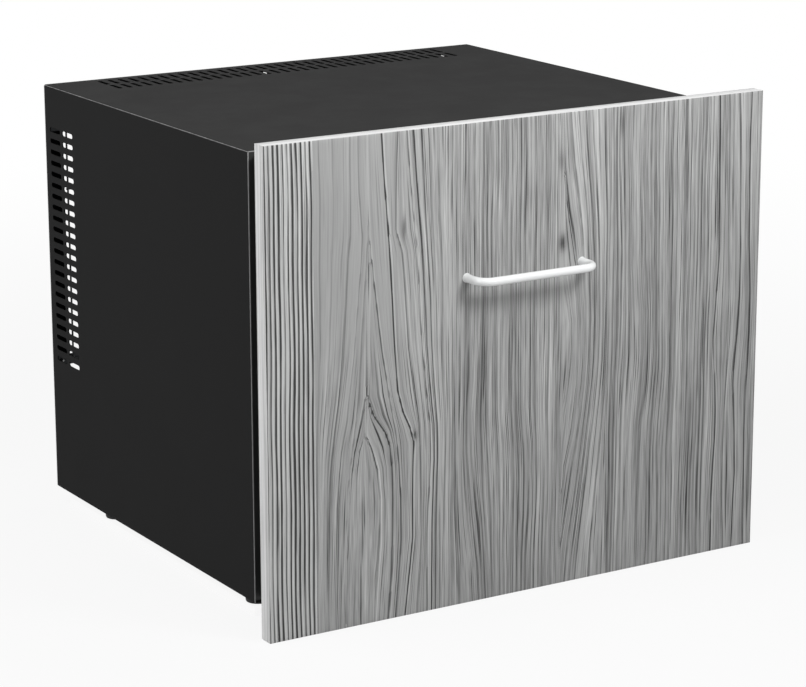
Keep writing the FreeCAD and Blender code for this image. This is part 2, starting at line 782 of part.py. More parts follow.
def fanScrews():
    hot = [screw((x, hotFanFront + hotFanThickness, z), -axisY,
                 hotFanThickness + fanGap + screwGrip) for x, z in fanScrewPlaces(hotFanSide)]
    cold = [screw((x, coldFanFront, z), axisY, coldFanThickness + fanGap + screwGrip)
            for x, z in fanScrewPlaces(coldFanSide)]
    return hot + cold


def coldAirCover():
    """A moulded cover over the cold sink: slots in front of the fan, and above and below the fins."""
    half = coldSinkHalf + coverMargin
    front = coverFrontY
    outer = roundedAlongY(box(-half, half, front, cavityRear, coolHeight - half, coolHeight + half),
                          coverCorner)
    inner = roundedAlongY(box(-half + coverWall, half - coverWall, front + coverWall, cavityRear + 1,
                              coolHeight - half + coverWall, coolHeight + half - coverWall),
                          coverCorner - coverWall)
    reach = coldFanSide / 2 - fanRimWall
    count = int(2 * reach // coverSlotPitch)
    slots = []
    for i in range(count):
        z = (i - (count - 1) / 2) * coverSlotPitch
        length = 2 * math.sqrt(reach ** 2 - z ** 2)
        slots.append(slot((0, front, coolHeight + z), length, coverSlot, 3 * coverWall, axisX, axisY))
    for i in range(coverSideSlotCount):
        x = (i - (coverSideSlotCount - 1) / 2) * coverSideSlotPitch
        y = (coldFinFront + coldBaseFront) / 2
        for z in (coolHeight - half, coolHeight + half):
            slots.append(slot((x, y, z), coverSideSlotLength, coverSlot, 3 * coverWall, axisY, axisZ))
    return cut(outer.cut(inner), slots)


# ---------------------------------------------------------------- electrics
supplyScrewPlaces = [(x, z) for x in (supplyLeft + supplyScrewInset, supplyRight - supplyScrewInset)
                     for z in (floorTop + supplyScrewInset, supplyTop - supplyScrewInset)]
supplyFixPlaces = [(supplyCentre + side * supplyFixSpacing / 2, (supplyFront + coverFront) / 2)
                   for side in (-1, 1)]


def supplyBox():
    """A moulded box, open at the back, with a screw post in each corner."""
    outer = box(supplyLeft, supplyRight, supplyFront, coverFront, floorTop, supplyTop)
    inner = box(supplyLeft + supplyWall, supplyRight - supplyWall, supplyFront + supplyWall,
                coverFront + 1, floorTop + supplyWall, supplyTop - supplyWall)
    half = supplyPost / 2
    posts = [box(x - half, x + half, supplyFront, coverFront, z - half, z + half)
             for x, z in supplyScrewPlaces]
    bosses = [rod(half, (x, y, floorTop), axisZ, supplyWall + screwGrip) for x, y in supplyFixPlaces]
    vents = [slot((supplyCentre + (i - (supplyVentCount - 1) / 2) * supplyVentPitch,
                   (supplyFront + coverFront) / 2, supplyTop), supplyVentLength, supplyVentWidth,
                  3 * supplyWall, axisY, axisZ) for i in range(supplyVentCount)]
    shell = fuse(outer.cut(inner), *(posts + bosses))
    holes = [screwHole((x, coverFront, z), -axisY, pilotGrip) for x, z in supplyScrewPlaces]
    holes += [screwHole((x, y, floorTop), axisZ, screwGrip) for x, y in supplyFixPlaces]
    return cut(shell, vents + holes)


def supplyCover():
    plate = roundedAlongY(box(supplyLeft, supplyRight, coverFront, supplyRear, floorTop, supplyTop),
                          supplyCorner)
    holes = [box(inletX - inletWidth / 2, inletX + inletWidth / 2, coverFront - 1, supplyRear + 1,
                 supplyMiddle - inletHeight / 2, supplyMiddle + inletHeight / 2),
             rod(dialShaftRadius + dialFit, (dialX, coverFront - 1, supplyMiddle), axisY,
                 supplyWall + 2)]
    return cut(plate, holes + [screwHole((x, supplyRear, z), -axisY, 2 * supplyWall)
                               for x, z in supplyScrewPlaces])


def supplyScrews():
    return [screw((x, supplyRear, z), -axisY, supplyWall + pilotGrip - 1, screwRadius,
                  supplyScrewHeadRadius, supplyScrewHeadHeight) for x, z in supplyScrewPlaces]


def mainsInlet():
    """A flanged three-pin appliance inlet: the housing, and its pins as one piece of moulding."""
    flange = roundedAlongY(box(inletX - inletFlangeWidth / 2, inletX + inletFlangeWidth / 2,
                               supplyRear, supplyRear + inletFlangeThickness,
                               supplyMiddle - inletFlangeHeight / 2,
                               supplyMiddle + inletFlangeHeight / 2), inletCorner)
    mouthY = supplyRear + inletFlangeThickness
    fit = inletFit
    body = box(inletX - inletWidth / 2 + fit, inletX + inletWidth / 2 - fit, mouthY - inletDepth,
               supplyRear, supplyMiddle - inletHeight / 2 + fit, supplyMiddle + inletHeight / 2 - fit)
    wall = inletCavityWall
    mouth = roundedAlongY(box(inletX - inletWidth / 2 + wall, inletX + inletWidth / 2 - wall,
                              mouthY - inletDepth + wall, mouthY + 1,
                              supplyMiddle - inletHeight / 2 + wall,
                              supplyMiddle + inletHeight / 2 - wall), inletCorner)
    places = ((-inletPinSpacing, -inletPinDrop), (0, inletPinRise), (inletPinSpacing, -inletPinDrop))
    pins = [box(inletX + dx - inletPinThickness / 2, inletX + dx + inletPinThickness / 2,
                mouthY - inletDepth, mouthY - inletPinRecess, supplyMiddle + dz - inletPinWidth / 2,
                supplyMiddle + dz + inletPinWidth / 2) for dx, dz in places]
    return fuse(fuse(flange, body).cut(mouth), *pins)


def circuitBoard():
    """The supply's board with its larger parts, standing in front of the cover's plate."""
    y1 = supplyFront + supplyWall + boardStandoff
    y0 = y1 - boardThickness
    plate = box(supplyLeft + boardMargin, supplyRight - boardMargin, y0, y1, floorTop + boardMargin,
                supplyTop - boardMargin)
    low = floorTop + boardMargin + partGap
    high = supplyTop - boardMargin - partGap
    right = supplyRight - boardMargin - partGap
    left = supplyLeft + boardMargin + partGap
    transformer = box(supplyCentre, supplyCentre + transformerSide, y1, y1 + transformerHeight,
                      low, low + transformerSide)
    coil = rod(coilRadius, (left + coilRadius, y1, low + coilRadius), axisY, coilHeight)
    capacitors = [rod(capacitorRadius, (right, y1, low + capacitorRadius + i * capacitorPitch),
                      axisY, capacitorHeight) for i in range(3)]
    relay = box(supplyCentre - relaySide, supplyCentre, y1, y1 + relaySide, high - relaySide, high)
    return fuse(plate, transformer, coil, relay, *capacitors)


def thermostatDial():
    """A fluted dial on a shaft through the cover, with a pointer notch."""
    y0 = supplyRear + dialGap
    dial = rod(dialRadius, (dialX, y0, supplyMiddle), axisY, dialHeight)
    shaft = rod(dialShaftRadius, (dialX, coverFront - dialShaftLength, supplyMiddle), axisY,
                y0 - coverFront + dialShaftLength + 1)
    flutes = []
    for i in range(dialFluteCount):
        a = 2 * math.pi * (i + 0.5) / dialFluteCount
        flutes.append(rod(dialFluteRadius, (dialX + dialRadius * math.sin(a), y0 + dialFluteStart,
                                            supplyMiddle + dialRadius * math.cos(a)), axisY, dialHeight))
    notch = box(dialX - dialNotchWidth / 2, dialX + dialNotchWidth / 2,
                y0 + dialHeight - dialNotchDepth, y0 + dialHeight + 1,
                supplyMiddle + dialNotchStart, supplyMiddle + dialRadius + 1)
    return cut(fuse(dial, shaft), flutes).cut(notch)


def lampHousing():
    half = lampWidth / 2
    outer = roundedAlongZ(box(-half, half, lampY, lampY + lampDepth, cavityTop - lampHeight,
                              cavityTop), lampCorner)
    inner = box(-half + lampWall, half - lampWall, lampY + lampWall, lampY + lampDepth - lampWall,
                cavityTop - lampHeight - 1, cavityTop - lampWall)
    return outer.cut(inner)


def lampLens():
    grow = lampWall + lampFit
    half = lampWidth / 2 - grow
    low = cavityTop - lampHeight - lensProud
    return box(-half, half, lampY + grow, lampY + lampDepth - grow, low, low + lensThickness)


def lampBoard():
    margin = lampWall + lampBoardMargin
    half = lampWidth / 2 - margin
    top = cavityTop - lampWall
    middleY = lampY + lampDepth / 2
    board = box(-half, half, lampY + margin, lampY + lampDepth - margin, top - boardThickness, top)
    diodes = [box(i * diodePitch - diodeLength / 2, i * diodePitch + diodeLength / 2,
                  middleY - diodeWidth / 2, middleY + diodeWidth / 2,
                  top - boardThickness - diodeHeight, top - boardThickness)
              for i in (-1.5, -0.5, 0.5, 1.5)]
    return fuse(board, *diodes)


def reedSwitch():
    y0 = flangeFront + switchSetback
    return roundedAlongZ(box(switchX - switchWidth / 2, switchX + switchWidth / 2, y0,
                             y0 + switchDepth, cavityTop - switchHeight, cavityTop), switchEdge)


# ---------------------------------------------------------------- runners, built on the right side
def channel(reach0, reach1, half, webAtWall, y0, y1):
    """A folded channel between two distances from the liner wall, with its web at one of them."""
    x1 = cavityHalf - reach0
    x0 = cavityHalf - reach1
    z0, z1 = runnerHeight - half, runnerHeight + half
    outer = box(x0, x1, y0, y1, z0, z1)
    hollow0 = x0 - 1 if webAtWall else x0 + runnerSheet
    hollow1 = x1 - runnerSheet if webAtWall else x1 + 1
    hollow = box(hollow0, hollow1, y0 - 1, y1 + 1, z0 + runnerSheet, z1 - runnerSheet)
    return outer.cut(hollow)


def runnerOuter():
    member = channel(0, outerReach, outerHalf, True, runnerStart, runnerStart + runnerLength)
    holes = [Part.makeCone(screwHeadRadius + screwFit, screwRadius + screwFit, runnerSheet,
                           Vector(cavityHalf - runnerSheet, y, runnerHeight), axisX)
             for y in runnerScrewPlaces()]
    return cut(member, holes)


def runnerMiddle():
    y0 = runnerStart + middleSetback
    y1 = y0 + runnerLength - 2 * middleSetback
    member = channel(middleStart, middleReach, middleHalf, True, y0, y1)
    places = (y0 + middleHoleInset, (y0 + y1) / 2, y1 - middleHoleInset)
    holes = [rod(middleHoleRadius, (cavityHalf - middleStart - 2 * runnerSheet, y, runnerHeight),
                 axisX, 3 * runnerSheet) for y in places]
    return cut(member, holes)


def basketScrewPlaces():
    first = basketFront + basketScrewInset
    last = basketFront + basketDepth - basketScrewInset
    return [first, (first + last) / 2, last]


def basketScrewHoles():
    return [rod(screwRadius + screwFit, (basketHalf - basketWall - 1, y, runnerHeight), axisX,
                basketWall + railSheet + runnerSheet + 2) for y in basketScrewPlaces()]


def runnerInner():
    y0 = runnerStart + 2 * middleSetback
    member = channel(innerStart, runnerDepth, innerHalf, False, y0,
                     y0 + runnerLength - 4 * middleSetback)
    return cut(member, basketScrewHoles())


def ballCage(gapLow, gapHigh, webReach, ballReach):
    """Two rows of balls in a folded strip: the strip lies half way between two members' flanges."""
    middle = (gapLow + gapHigh) / 2
    y0, y1 = cageStart, cageStart + cageLength
    x1 = cavityHalf - webReach
    xFar = cavityHalf - ballReach - 2 * ballRadius
    web = box(x1 - cageSheet, x1, y0, y1, runnerHeight - middle - cageSheet / 2,
              runnerHeight + middle + cageSheet / 2)
    strips = [box(xFar, x1, y0, y1, runnerHeight + s * middle - cageSheet / 2,
                  runnerHeight + s * middle + cageSheet / 2) for s in (-1, 1)]
    cage = fuse(web, *strips)
    x = cavityHalf - ballReach
    firstBall = (y0 + y1 - (ballsPerRow - 1) * ballPitch) / 2
    places = [(x, firstBall + i * ballPitch, runnerHeight + s * middle)
              for s in (-1, 1) for i in range(ballsPerRow)]
    cage = cut(cage, [Part.makeCylinder(ballRadius + cageHoleFit, 3 * ballRadius,
                                        Vector(*p) - axisZ * 1.5 * ballRadius, axisZ)
                      for p in places])
    return [cage] + [Part.makeSphere(ballRadius, Vector(*p)) for p in places]


def outerCage():
    web = (runnerSheet + middleStart - cageSheet) / 2
    return ballCage(middleHalf, outerHalf - runnerSheet, web, (middleStart + outerReach) / 2)


def innerCage():
    web = (middleStart + runnerSheet + innerStart - cageSheet) / 2
    return ballCage(innerHalf, middleHalf - runnerSheet, web, (innerStart + middleReach) / 2)


def runnerScrews():
    right = [flatScrew((cavityHalf - runnerSheet, y, runnerHeight), axisX, runnerScrewLength,
                       runnerSheet) for y in runnerScrewPlaces()]
    return right + [mirrored(s) for s in right]


# ---------------------------------------------------------------- drawer
def drawerRail():
    """An angle rail from the door plug back along the drawer member."""
    x1 = cavityHalf - runnerDepth
    y1 = basketFront + basketDepth
    side = box(x1 - railSheet, x1, plugProud, y1, runnerHeight - railHeight / 2,
               runnerHeight + railHeight / 2)
    tab = box(x1 - railTab, x1, plugProud, plugProud + railSheet, runnerHeight - railTabHeight / 2,
              runnerHeight + railTabHeight / 2)
    holes = [screwHole((x, plugProud + railSheet, z), -axisY, 2 * railSheet)
             for x, z in railScrewPlaces()]
    return cut(fuse(side, tab), basketScrewHoles() + holes)


def railScrewPlaces():
    x = cavityHalf - runnerDepth - railTab / 2 - 2
    return [(x, runnerHeight + s * (railTabHeight / 2 - railScrewInset)) for s in (-1, 1)]


def basketSlots():
    """Air slots through the floor and through the lower part of the front and rear walls."""
    cutters = []
    middleY = basketFront + basketDepth / 2
    reach = int((basketHalf - basketCorner - basketSlotEdge) // basketSlotPitch)
    for row in range(basketSlotRows):
        y = middleY + (row - (basketSlotRows - 1) / 2) * basketSlotRowPitch
        for i in range(-reach, reach + 1):
            cutters.append(slot((i * basketSlotPitch, y, basketBottom), basketSlotLength,
                                basketSlotWidth, 4 * basketWall, axisY, axisZ))
    for i in range(-reach, reach + 1):
        for y in (basketFront, basketFront + basketDepth):
            cutters.append(slot((i * basketSlotPitch, y, basketBottom + basketWallSlotHeight),
                                basketSlotLength, basketSlotWidth, 4 * basketWall, axisZ, axisY))
    return cutters


def basket():
    y0, y1 = basketFront, basketFront + basketDepth
    outer = roundedAlongZ(box(-basketHalf, basketHalf, y0, y1, basketBottom, basketTop),
                          basketCorner)
    inner = roundedAlongZ(box(-basketHalf + basketWall, basketHalf - basketWall, y0 + basketWall,
                              y1 - basketWall, basketBottom + basketWall, basketTop + 1),
                          basketCorner - basketWall)
    tray = cut(outer.cut(inner), basketSlots())
    right = basketScrewHoles()
    right += [Part.makeCone(screwHeadRadius + screwFit, screwRadius + screwFit, basketWall,
                            Vector(basketHalf - basketWall, y, runnerHeight), axisX)
              for y in basketScrewPlaces()]
    return cut(tray, right + [mirrored(h) for h in right])


def basketScrews():
    length = basketWall + railSheet + runnerSheet + 1
    right = [flatScrew((basketHalf - basketWall, y, runnerHeight), axisX, length, basketWall)
             for y in basketScrewPlaces()]
    right += [screw((x, plugProud + railSheet, z), -axisY, railSheet + pilotGrip - 1)
              for x, z in railScrewPlaces()]
    return right + [mirrored(s) for s in right]


def bottleDivider():
    """A cross plate that stands clear of the walls and hangs from them by its top edge."""
    y0 = dividerY - dividerThickness / 2
    y1 = dividerY + dividerThickness / 2
    x = basketHalf - basketWall - dividerFit
    plate = box(-x, x, y0, y1, basketBottom + basketWall + dividerFit, basketTop + dividerFit)
    cap = roundedAlongX(box(-basketHalf, basketHalf, dividerY - dividerCap / 2,
                            dividerY + dividerCap / 2, basketTop + dividerFit,
                            basketTop + dividerFit + dividerCapHeight), dividerCapHeight / 3)
    first = -(dividerWindowCount - 1) * dividerWindowPitch / 2
    windows = [slot((first + i * dividerWindowPitch, dividerY, basketBottom + dividerWindowRise),
                    dividerWindowLength, dividerWindowWidth, 4 * dividerThickness, axisZ, axisY)
               for i in range(dividerWindowCount)]
    return cut(fuse(plate, cap), windows)


def roundedAlongX(shape, radius):
    edges = [e for e in shape.Edges if abs(e.tangentAt(e.FirstParameter).dot(axisX)) > 0.999]
    return shape.makeFillet(radius, edges)


# ---------------------------------------------------------------- drawer front
def doorPan():
    outer = roundedAlongY(box(-doorHalf, doorHalf, doorFront, doorRear, doorBottom, doorTop),
                          bendRadius)
    inner = box(-doorHalf + sheet, doorHalf - sheet, doorFront + sheet, doorRear - sheet,
                doorBottom + sheet, doorTop - sheet)
    opening = box(-doorHalf + doorLip, doorHalf - doorLip, doorRear - 2 * sheet, doorRear + 1,
                  doorBottom + doorLip, doorTop - doorLip)
    holes = [screwHole((x, y, doorTop), -axisZ, 3 * sheet) for x, y in bracketPanPlaces()]
    holes += [screwHole((x, y, doorBottom), axisZ, 3 * sheet) for x, y in bracketPanPlaces()]
    return cut(outer.cut(inner).cut(opening), holes)


def plugShape(grow, front, rear):
    """The door's raised middle, grown by grow on its four sides."""
    shape = box(-plugHalf - grow, plugHalf + grow, front, rear, plugBottom - grow, plugTop + grow)
    return roundedAlongY(shape, linerCorner + grow)


def railPilots():
    right = [rod(screwRadius + screwFit, (x, plugProud + 1, z), -axisY, pilotGrip + 1)
             for x, z in railScrewPlaces()]
    return right + [mirrored(h) for h in right]


def magnetPocket(grow):
    return rod(magnetRadius + grow, (switchX, plugProud - doorLinerWall - magnetThickness - grow,
                                     plugTop - 2 * magnetRadius), axisY, magnetThickness + grow)


def doorLiner():
    plate = roundedAlongY(box(-doorHalf, doorHalf, doorRear, doorPlateRear, doorBottom, doorTop),
                          bendRadius)
    plug = plugShape(0, doorRear, plugProud)
    hollow = plugShape(-doorLinerWall, doorRear - 1, plugProud - doorLinerWall)
    return cut(fuse(plate, plug).cut(hollow), railPilots())


def doorFoam():
    core = box(-doorHalf + sheet, doorHalf - sheet, doorFront + sheet, doorRear - sheet,
               doorBottom + sheet, doorTop - sheet)
    throat = box(-doorHalf + doorLip, doorHalf - doorLip, doorRear - 2 * sheet, doorRear,
                 doorBottom + doorLip, doorTop - doorLip)
    plug = plugShape(-doorLinerWall, doorRear - 2 * sheet, plugProud - doorLinerWall)
    pockets = railPilots() + [magnetPocket(magnetFit)]
    pockets += [screwHole((x, y, doorTop), -axisZ, pilotGrip + 1) for x, y in bracketPanPlaces()]
    pockets += [screwHole((x, y, doorBottom), axisZ, pilotGrip + 1) for x, y in bracketPanPlaces()]
    return cut(fuse(core, throat, plug), pockets)


def gasketRing():
    """A soft channel all round the door, open towards it, with room for the magnet strip."""
    outerX = halfWidth - gasketInset
    low, high = gasketInset, casingHeight - gasketInset
    face = frameFront - gasketGap
    ring = frameRing(outerX, low, high, gasketWidth, doorPlateRear, face)
    inset = gasketWall
    groove = frameRing(outerX - inset, low + inset, high - inset, gasketWidth - 2 * inset,
                       doorPlateRear - 1, face - gasketWall)
    return ring.cut(groove)


def gasketMagnet():
    inset = (gasketWidth - magnetStripWidth) / 2
    face = frameFront - gasketGap - gasketWall
    return frameRing(halfWidth - gasketInset - inset, gasketInset + inset,
                     casingHeight - gasketInset - inset, magnetStripWidth,
                     face - magnetStripThickness, face)


def handleX(side):
    return side * handleSpacing / 2


def decorPanel():
    band = edgeBandThickness
    board = box(-panelHalf + band, panelHalf - band, panelFront, doorFront, panelBottom + band,
                panelTop - band)
    holes = []
    for side in (-1, 1):
        holes.append(rod(handleScrewRadius + screwFit, (handleX(side), panelFront - 1, handleHeight),
                         axisY, panelThickness + 2))
        holes.append(rod(handleScrewHeadRadius + handleCounterboreFit,
                         (handleX(side), doorFront - handleCounterbore, handleHeight), axisY,
                         handleCounterbore + 1))
    holes += [screwHole((x, doorFront, z), -axisY, pilotGrip + 1) for x, z in bracketPanelPlaces()]
    return cut(board, holes)


def edgeBand():
    outer = box(-panelHalf, panelHalf, panelFront, doorFront, panelBottom, panelTop)
    edges = [e for e in outer.Edges if e.BoundBox.YMax < (panelFront + doorFront) / 2]
    outer = outer.makeChamfer(panelChamfer, edges)
    band = edgeBandThickness
    return outer.cut(box(-panelHalf + band, panelHalf - band, panelFront - 1, doorFront + 1,
                         panelBottom + band, panelTop - band))


def handle():
    """A bow of round bar: two legs out of the panel, two bends and the grip between them."""
    bar = panelFront - handleProjection
    pieces = []
    half = handleSpacing / 2
    grip = rod(handleRadius, (-half + handleBend, bar, handleHeight), axisX,
               handleSpacing - 2 * handleBend)
    for side in (-1, 1):
        pieces.append(rod(handleRadius, (handleX(side), panelFront, handleHeight), -axisY,
                          handleProjection - handleBend))
        bend = Part.makeTorus(handleBend, handleRadius, Vector(0, 0, 0), axisZ, -180, 180, 90)
        bend.rotate(Vector(0, 0, 0), axisZ, 180 if side < 0 else 270)
        bend.translate(Vector(side * (half - handleBend), bar + handleBend, handleHeight))
        pieces.append(bend)
    shape = grip.multiFuse(pieces).removeSplitter()
    return cut(shape, [rod(handleScrewRadius + screwFit, (handleX(s), panelFront + 1, handleHeight),
                           -axisY, handleScrewDepth + 1) for s in (-1, 1)])


def handleScrews():
    under = doorFront - handleCounterbore
    length = panelThickness - handleCounterbore + handleScrewDepth - 1
    return [screw((handleX(s), under, handleHeight), -axisY, length, handleScrewRadius,
                  handleScrewHeadRadius, handleScrewHeadHeight) for s in (-1, 1)]


def bracketPanPlaces():
    y = doorFront + bracketScrewSetback
    half = bracketScrewSpacing / 2
    return [(s * bracketSpacing / 2 + t * half, y) for s in (-1, 1) for t in (-1, 1)]


def bracketPanelPlaces():
    above = doorTop + bracketThickness + (panelTop - doorTop - bracketThickness) / 2
    below = doorBottom - bracketThickness - (doorBottom - panelBottom - bracketThickness) / 2
    half = bracketScrewSpacing / 2
    return [(s * bracketSpacing / 2 + t * half, z)
            for s in (-1, 1) for t in (-1, 1) for z in (above, below)]


def panelBrackets():
    """Angle brackets from the door pan's top and bottom to the panel's back."""
    solids = []
    upLeg = panelTop - doorTop - bracketEdgeGap
    downLeg = doorBottom - panelBottom - bracketEdgeGap
    for side in (-1, 1):
        x0 = side * bracketSpacing / 2 - bracketWidth / 2
        x1 = x0 + bracketWidth
        t = bracketThickness
        top = fuse(box(x0, x1, doorFront, doorFront + bracketLeg, doorTop, doorTop + t),
                   box(x0, x1, doorFront, doorFront + t, doorTop, doorTop + upLeg))
        low = fuse(box(x0, x1, doorFront, doorFront + bracketLeg, doorBottom - t, doorBottom),
                   box(x0, x1, doorFront, doorFront + t, doorBottom - downLeg, doorBottom))
        solids += [top, low]
    deep = 2 * bracketThickness
    tools = [screwHole((x, doorFront + bracketThickness, z), -axisY, deep)
             for x, z in bracketPanelPlaces()]
    tools += [screwHole((x, y, doorTop + bracketThickness), -axisZ, deep)
              for x, y in bracketPanPlaces()]
    tools += [screwHole((x, y, doorBottom - bracketThickness), axisZ, deep)
              for x, y in bracketPanPlaces()]
    return [cut(s, tools) for s in solids]


def bracketScrews():
    t = bracketThickness
    length = t + pilotGrip
    solids = [screw((x, doorFront + t, z), -axisY, length) for x, z in bracketPanelPlaces()]
    solids += [screw((x, y, doorTop + t), -axisZ, length) for x, y in bracketPanPlaces()]
    return solids + [screw((x, y, doorBottom - t), axisZ, length) for x, y in bracketPanPlaces()]


# ---------------------------------------------------------------- write every node
os.makedirs("parts", exist_ok=True)

save("outer_casing", outerCasing())
save("base_plate", basePlate())
save("insulation_jacket", insulationJacket())
save("inner_liner", innerLiner())
save("front_frame", frontFrame())
save("bulkhead", bulkhead())
save("wire_guard", *wireGuard())
for footName, (footSide, footY) in footPlaces.items():
    save(footName, foot(footSide, footY))
save("foot_bolts", *footBolts())
save("casing_screws", *casingScrews())

save("cold_sink", coldSink())
save("cold_block", blockHole(cavityRear, moduleFront, 0))
save("peltier_module", box(-moduleSide / 2, moduleSide / 2, moduleFront, hotBaseFront,
                           coolHeight - moduleSide / 2, coolHeight + moduleSide / 2))
save("hot_sink", hotSink())
save("hot_fan_frame", fanFrame(hotFanSide, hotFanThickness, hotFanFront, False))
save("hot_fan_rotor", fanRotor(hotFanSide, hotFanThickness, hotFanFront, False))
save("cold_fan_frame", fanFrame(coldFanSide, coldFanThickness, coldFanFront, True))
save("cold_fan_rotor", fanRotor(coldFanSide, coldFanThickness, coldFanFront, True))
save("cooling_screws", *(clampScrews() + fanScrews()))
save("cold_air_cover", coldAirCover())

save("supply_box", supplyBox())
save("supply_cover", supplyCover())
save("mains_inlet", mainsInlet())
save("circuit_board", circuitBoard())
save("thermostat_dial", thermostatDial())
save("lamp_housing", lampHousing())
save("lamp_board", lampBoard())
save("lamp_lens", lampLens())
save("reed_switch", reedSwitch())

rightSide = {"runner_outer": [runnerOuter()], "runner_middle": [runnerMiddle()],
             "runner_inner": [runnerInner()], "outer_ball_cage": outerCage(),
             "inner_ball_cage": innerCage(), "drawer_rail": [drawerRail()]}
for pieceName, pieceSolids in rightSide.items():
    save(pieceName + "_right", *pieceSolids)
    save(pieceName + "_left", *[mirrored(s) for s in pieceSolids])
save("runner_screws", *runnerScrews())

save("basket", basket())
save("basket_screws", *basketScrews())
save("bottle_divider", bottleDivider())

save("door_pan", doorPan())
save("door_foam", doorFoam())
save("door_liner", doorLiner())
save("door_magnet", magnetPocket(0))
save("gasket", gasketRing())
save("gasket_magnet", gasketMagnet())
save("decor_panel", decorPanel())
save("edge_band", edgeBand())
save("handle", handle())
save("handle_screws", *handleScrews())
save("panel_brackets", *panelBrackets())
save("bracket_screws", *bracketScrews())
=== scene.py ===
import json
import math

import bmesh
import bpy
import numpy as np
from mathutils import Matrix, Vector


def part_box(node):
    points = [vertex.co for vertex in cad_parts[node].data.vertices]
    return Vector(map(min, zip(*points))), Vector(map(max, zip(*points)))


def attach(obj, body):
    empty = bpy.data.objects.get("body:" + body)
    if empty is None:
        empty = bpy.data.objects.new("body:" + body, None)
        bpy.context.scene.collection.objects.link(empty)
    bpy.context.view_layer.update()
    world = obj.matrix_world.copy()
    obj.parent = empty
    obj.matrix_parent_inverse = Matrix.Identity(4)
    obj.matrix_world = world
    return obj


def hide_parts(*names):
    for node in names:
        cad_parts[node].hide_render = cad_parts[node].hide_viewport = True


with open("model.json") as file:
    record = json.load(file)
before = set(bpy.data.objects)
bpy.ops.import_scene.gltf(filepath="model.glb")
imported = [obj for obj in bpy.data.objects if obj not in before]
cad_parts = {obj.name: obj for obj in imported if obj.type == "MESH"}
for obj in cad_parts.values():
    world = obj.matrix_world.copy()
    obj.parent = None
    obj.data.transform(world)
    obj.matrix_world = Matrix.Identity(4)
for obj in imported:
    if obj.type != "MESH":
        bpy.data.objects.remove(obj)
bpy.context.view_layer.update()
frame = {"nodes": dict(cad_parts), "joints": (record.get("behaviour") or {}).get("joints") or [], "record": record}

mm = 0.001


# ---- mesh helpers
# Quads between neighbouring points of a rows x columns grid; a closed way wraps round.
def gridQuads(rows, columns, closeRows=False, closeColumns=False):
    r = np.arange(rows if closeRows else rows - 1)
    c = np.arange(columns if closeColumns else columns - 1)
    rr, cc = np.meshgrid(r, c, indexing="ij")
    nextR, nextC = (rr + 1) % rows, (cc + 1) % columns
    quads = [rr * columns + cc, nextR * columns + cc, nextR * columns + nextC, rr * columns + nextC]
    return np.stack(quads, -1).reshape(-1, 4)


# One closed shell from a grid whose columns run round a section: the two end rows get a cap each,
# or the rows wrap round too.
def tubeShell(points, closeRows=False):
    rows, columns = points.shape[:2]
    faces = gridQuads(rows, columns, closeRows, True).tolist()
    if not closeRows:
        faces.append(list(range(columns)))
        faces.append(list(range((rows - 1) * columns, rows * columns)))
    return points.reshape(-1, 3), faces


def fullTurn(steps):
    return np.linspace(0, 2 * np.pi, steps, endpoint=False)


# Points round an axis: centre + radius (cos turn side + sin turn other) + height axis.
def aroundAxis(centre, axis, radius, turn, height):
    axis = Vector(axis).normalized()
    side = axis.orthogonal().normalized()
    parts = np.broadcast_arrays(radius * np.cos(turn), radius * np.sin(turn), height)
    return np.array(centre) + np.stack(parts, -1) @ np.array((side, axis.cross(side), axis))


# A profile of (radius, height) turned about an axis. A small radius at an end is closed by a cap.
def latheShell(profile, centre, axis, steps, closed=False):
    radius, height = np.array(profile, float).T[:, :, None]
    return tubeShell(aroundAxis(centre, axis, radius, fullTurn(steps), height), closed)


def pathDirections(path):
    along = np.gradient(path, axis=0)
    return along / np.linalg.norm(along, axis=1)[:, None]


# A round bar along a flat path: path + radius (cos a side + sin a fixed), where fixed stands square
# to the path's plane, and side is square to fixed and to the path.
def barShell(path, radius, sides, fixed):
    side = np.cross(pathDirections(path), fixed)
    turn = fullTurn(sides)[:, None]
    around = np.cos(turn) * side[:, None] + np.sin(turn) * np.array(fixed, float)
    return tubeShell(path[:, None] + np.broadcast_to(radius, len(path))[:, None, None] * around)


def addObject(name, data):
    made = bpy.data.objects.new(name, data)
    bpy.context.scene.collection.objects.link(made)
    return made


# All shells of a piece in one mesh, faces turned outwards, smooth but for edges over the angle.
def makePiece(name, shells, slotName, body, replaced=(), sharpAngle=32, attributes=None, finish=None):
    counts = np.cumsum([0] + [len(s[0]) for s in shells])
    verts = np.concatenate([s[0] for s in shells])
    faces = [[i + int(start) for i in f] for s, start in zip(shells, counts) for f in s[1]]
    mesh = bpy.data.meshes.new(name)
    mesh.from_pydata(verts.tolist(), [], faces)
    work = bmesh.new()
    work.from_mesh(mesh)
    bmesh.ops.recalc_face_normals(work, faces=work.faces)
    work.to_mesh(mesh)
    work.free()
    for key, values in (attributes or {}).items():
        layer = mesh.attributes.new(key, "FLOAT", "POINT")
        layer.data.foreach_set("value", np.asarray(values, np.float32).ravel())
    mesh.polygons.foreach_set("use_smooth", np.ones(len(mesh.polygons), bool))
    mesh.set_sharp_from_angle(angle=math.radians(sharpAngle))
    mesh.materials.append(materials[finish or slotName])
    piece = addObject(name, mesh)
    if replaced:
        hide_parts(*replaced)
    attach(piece, body)
    return piece


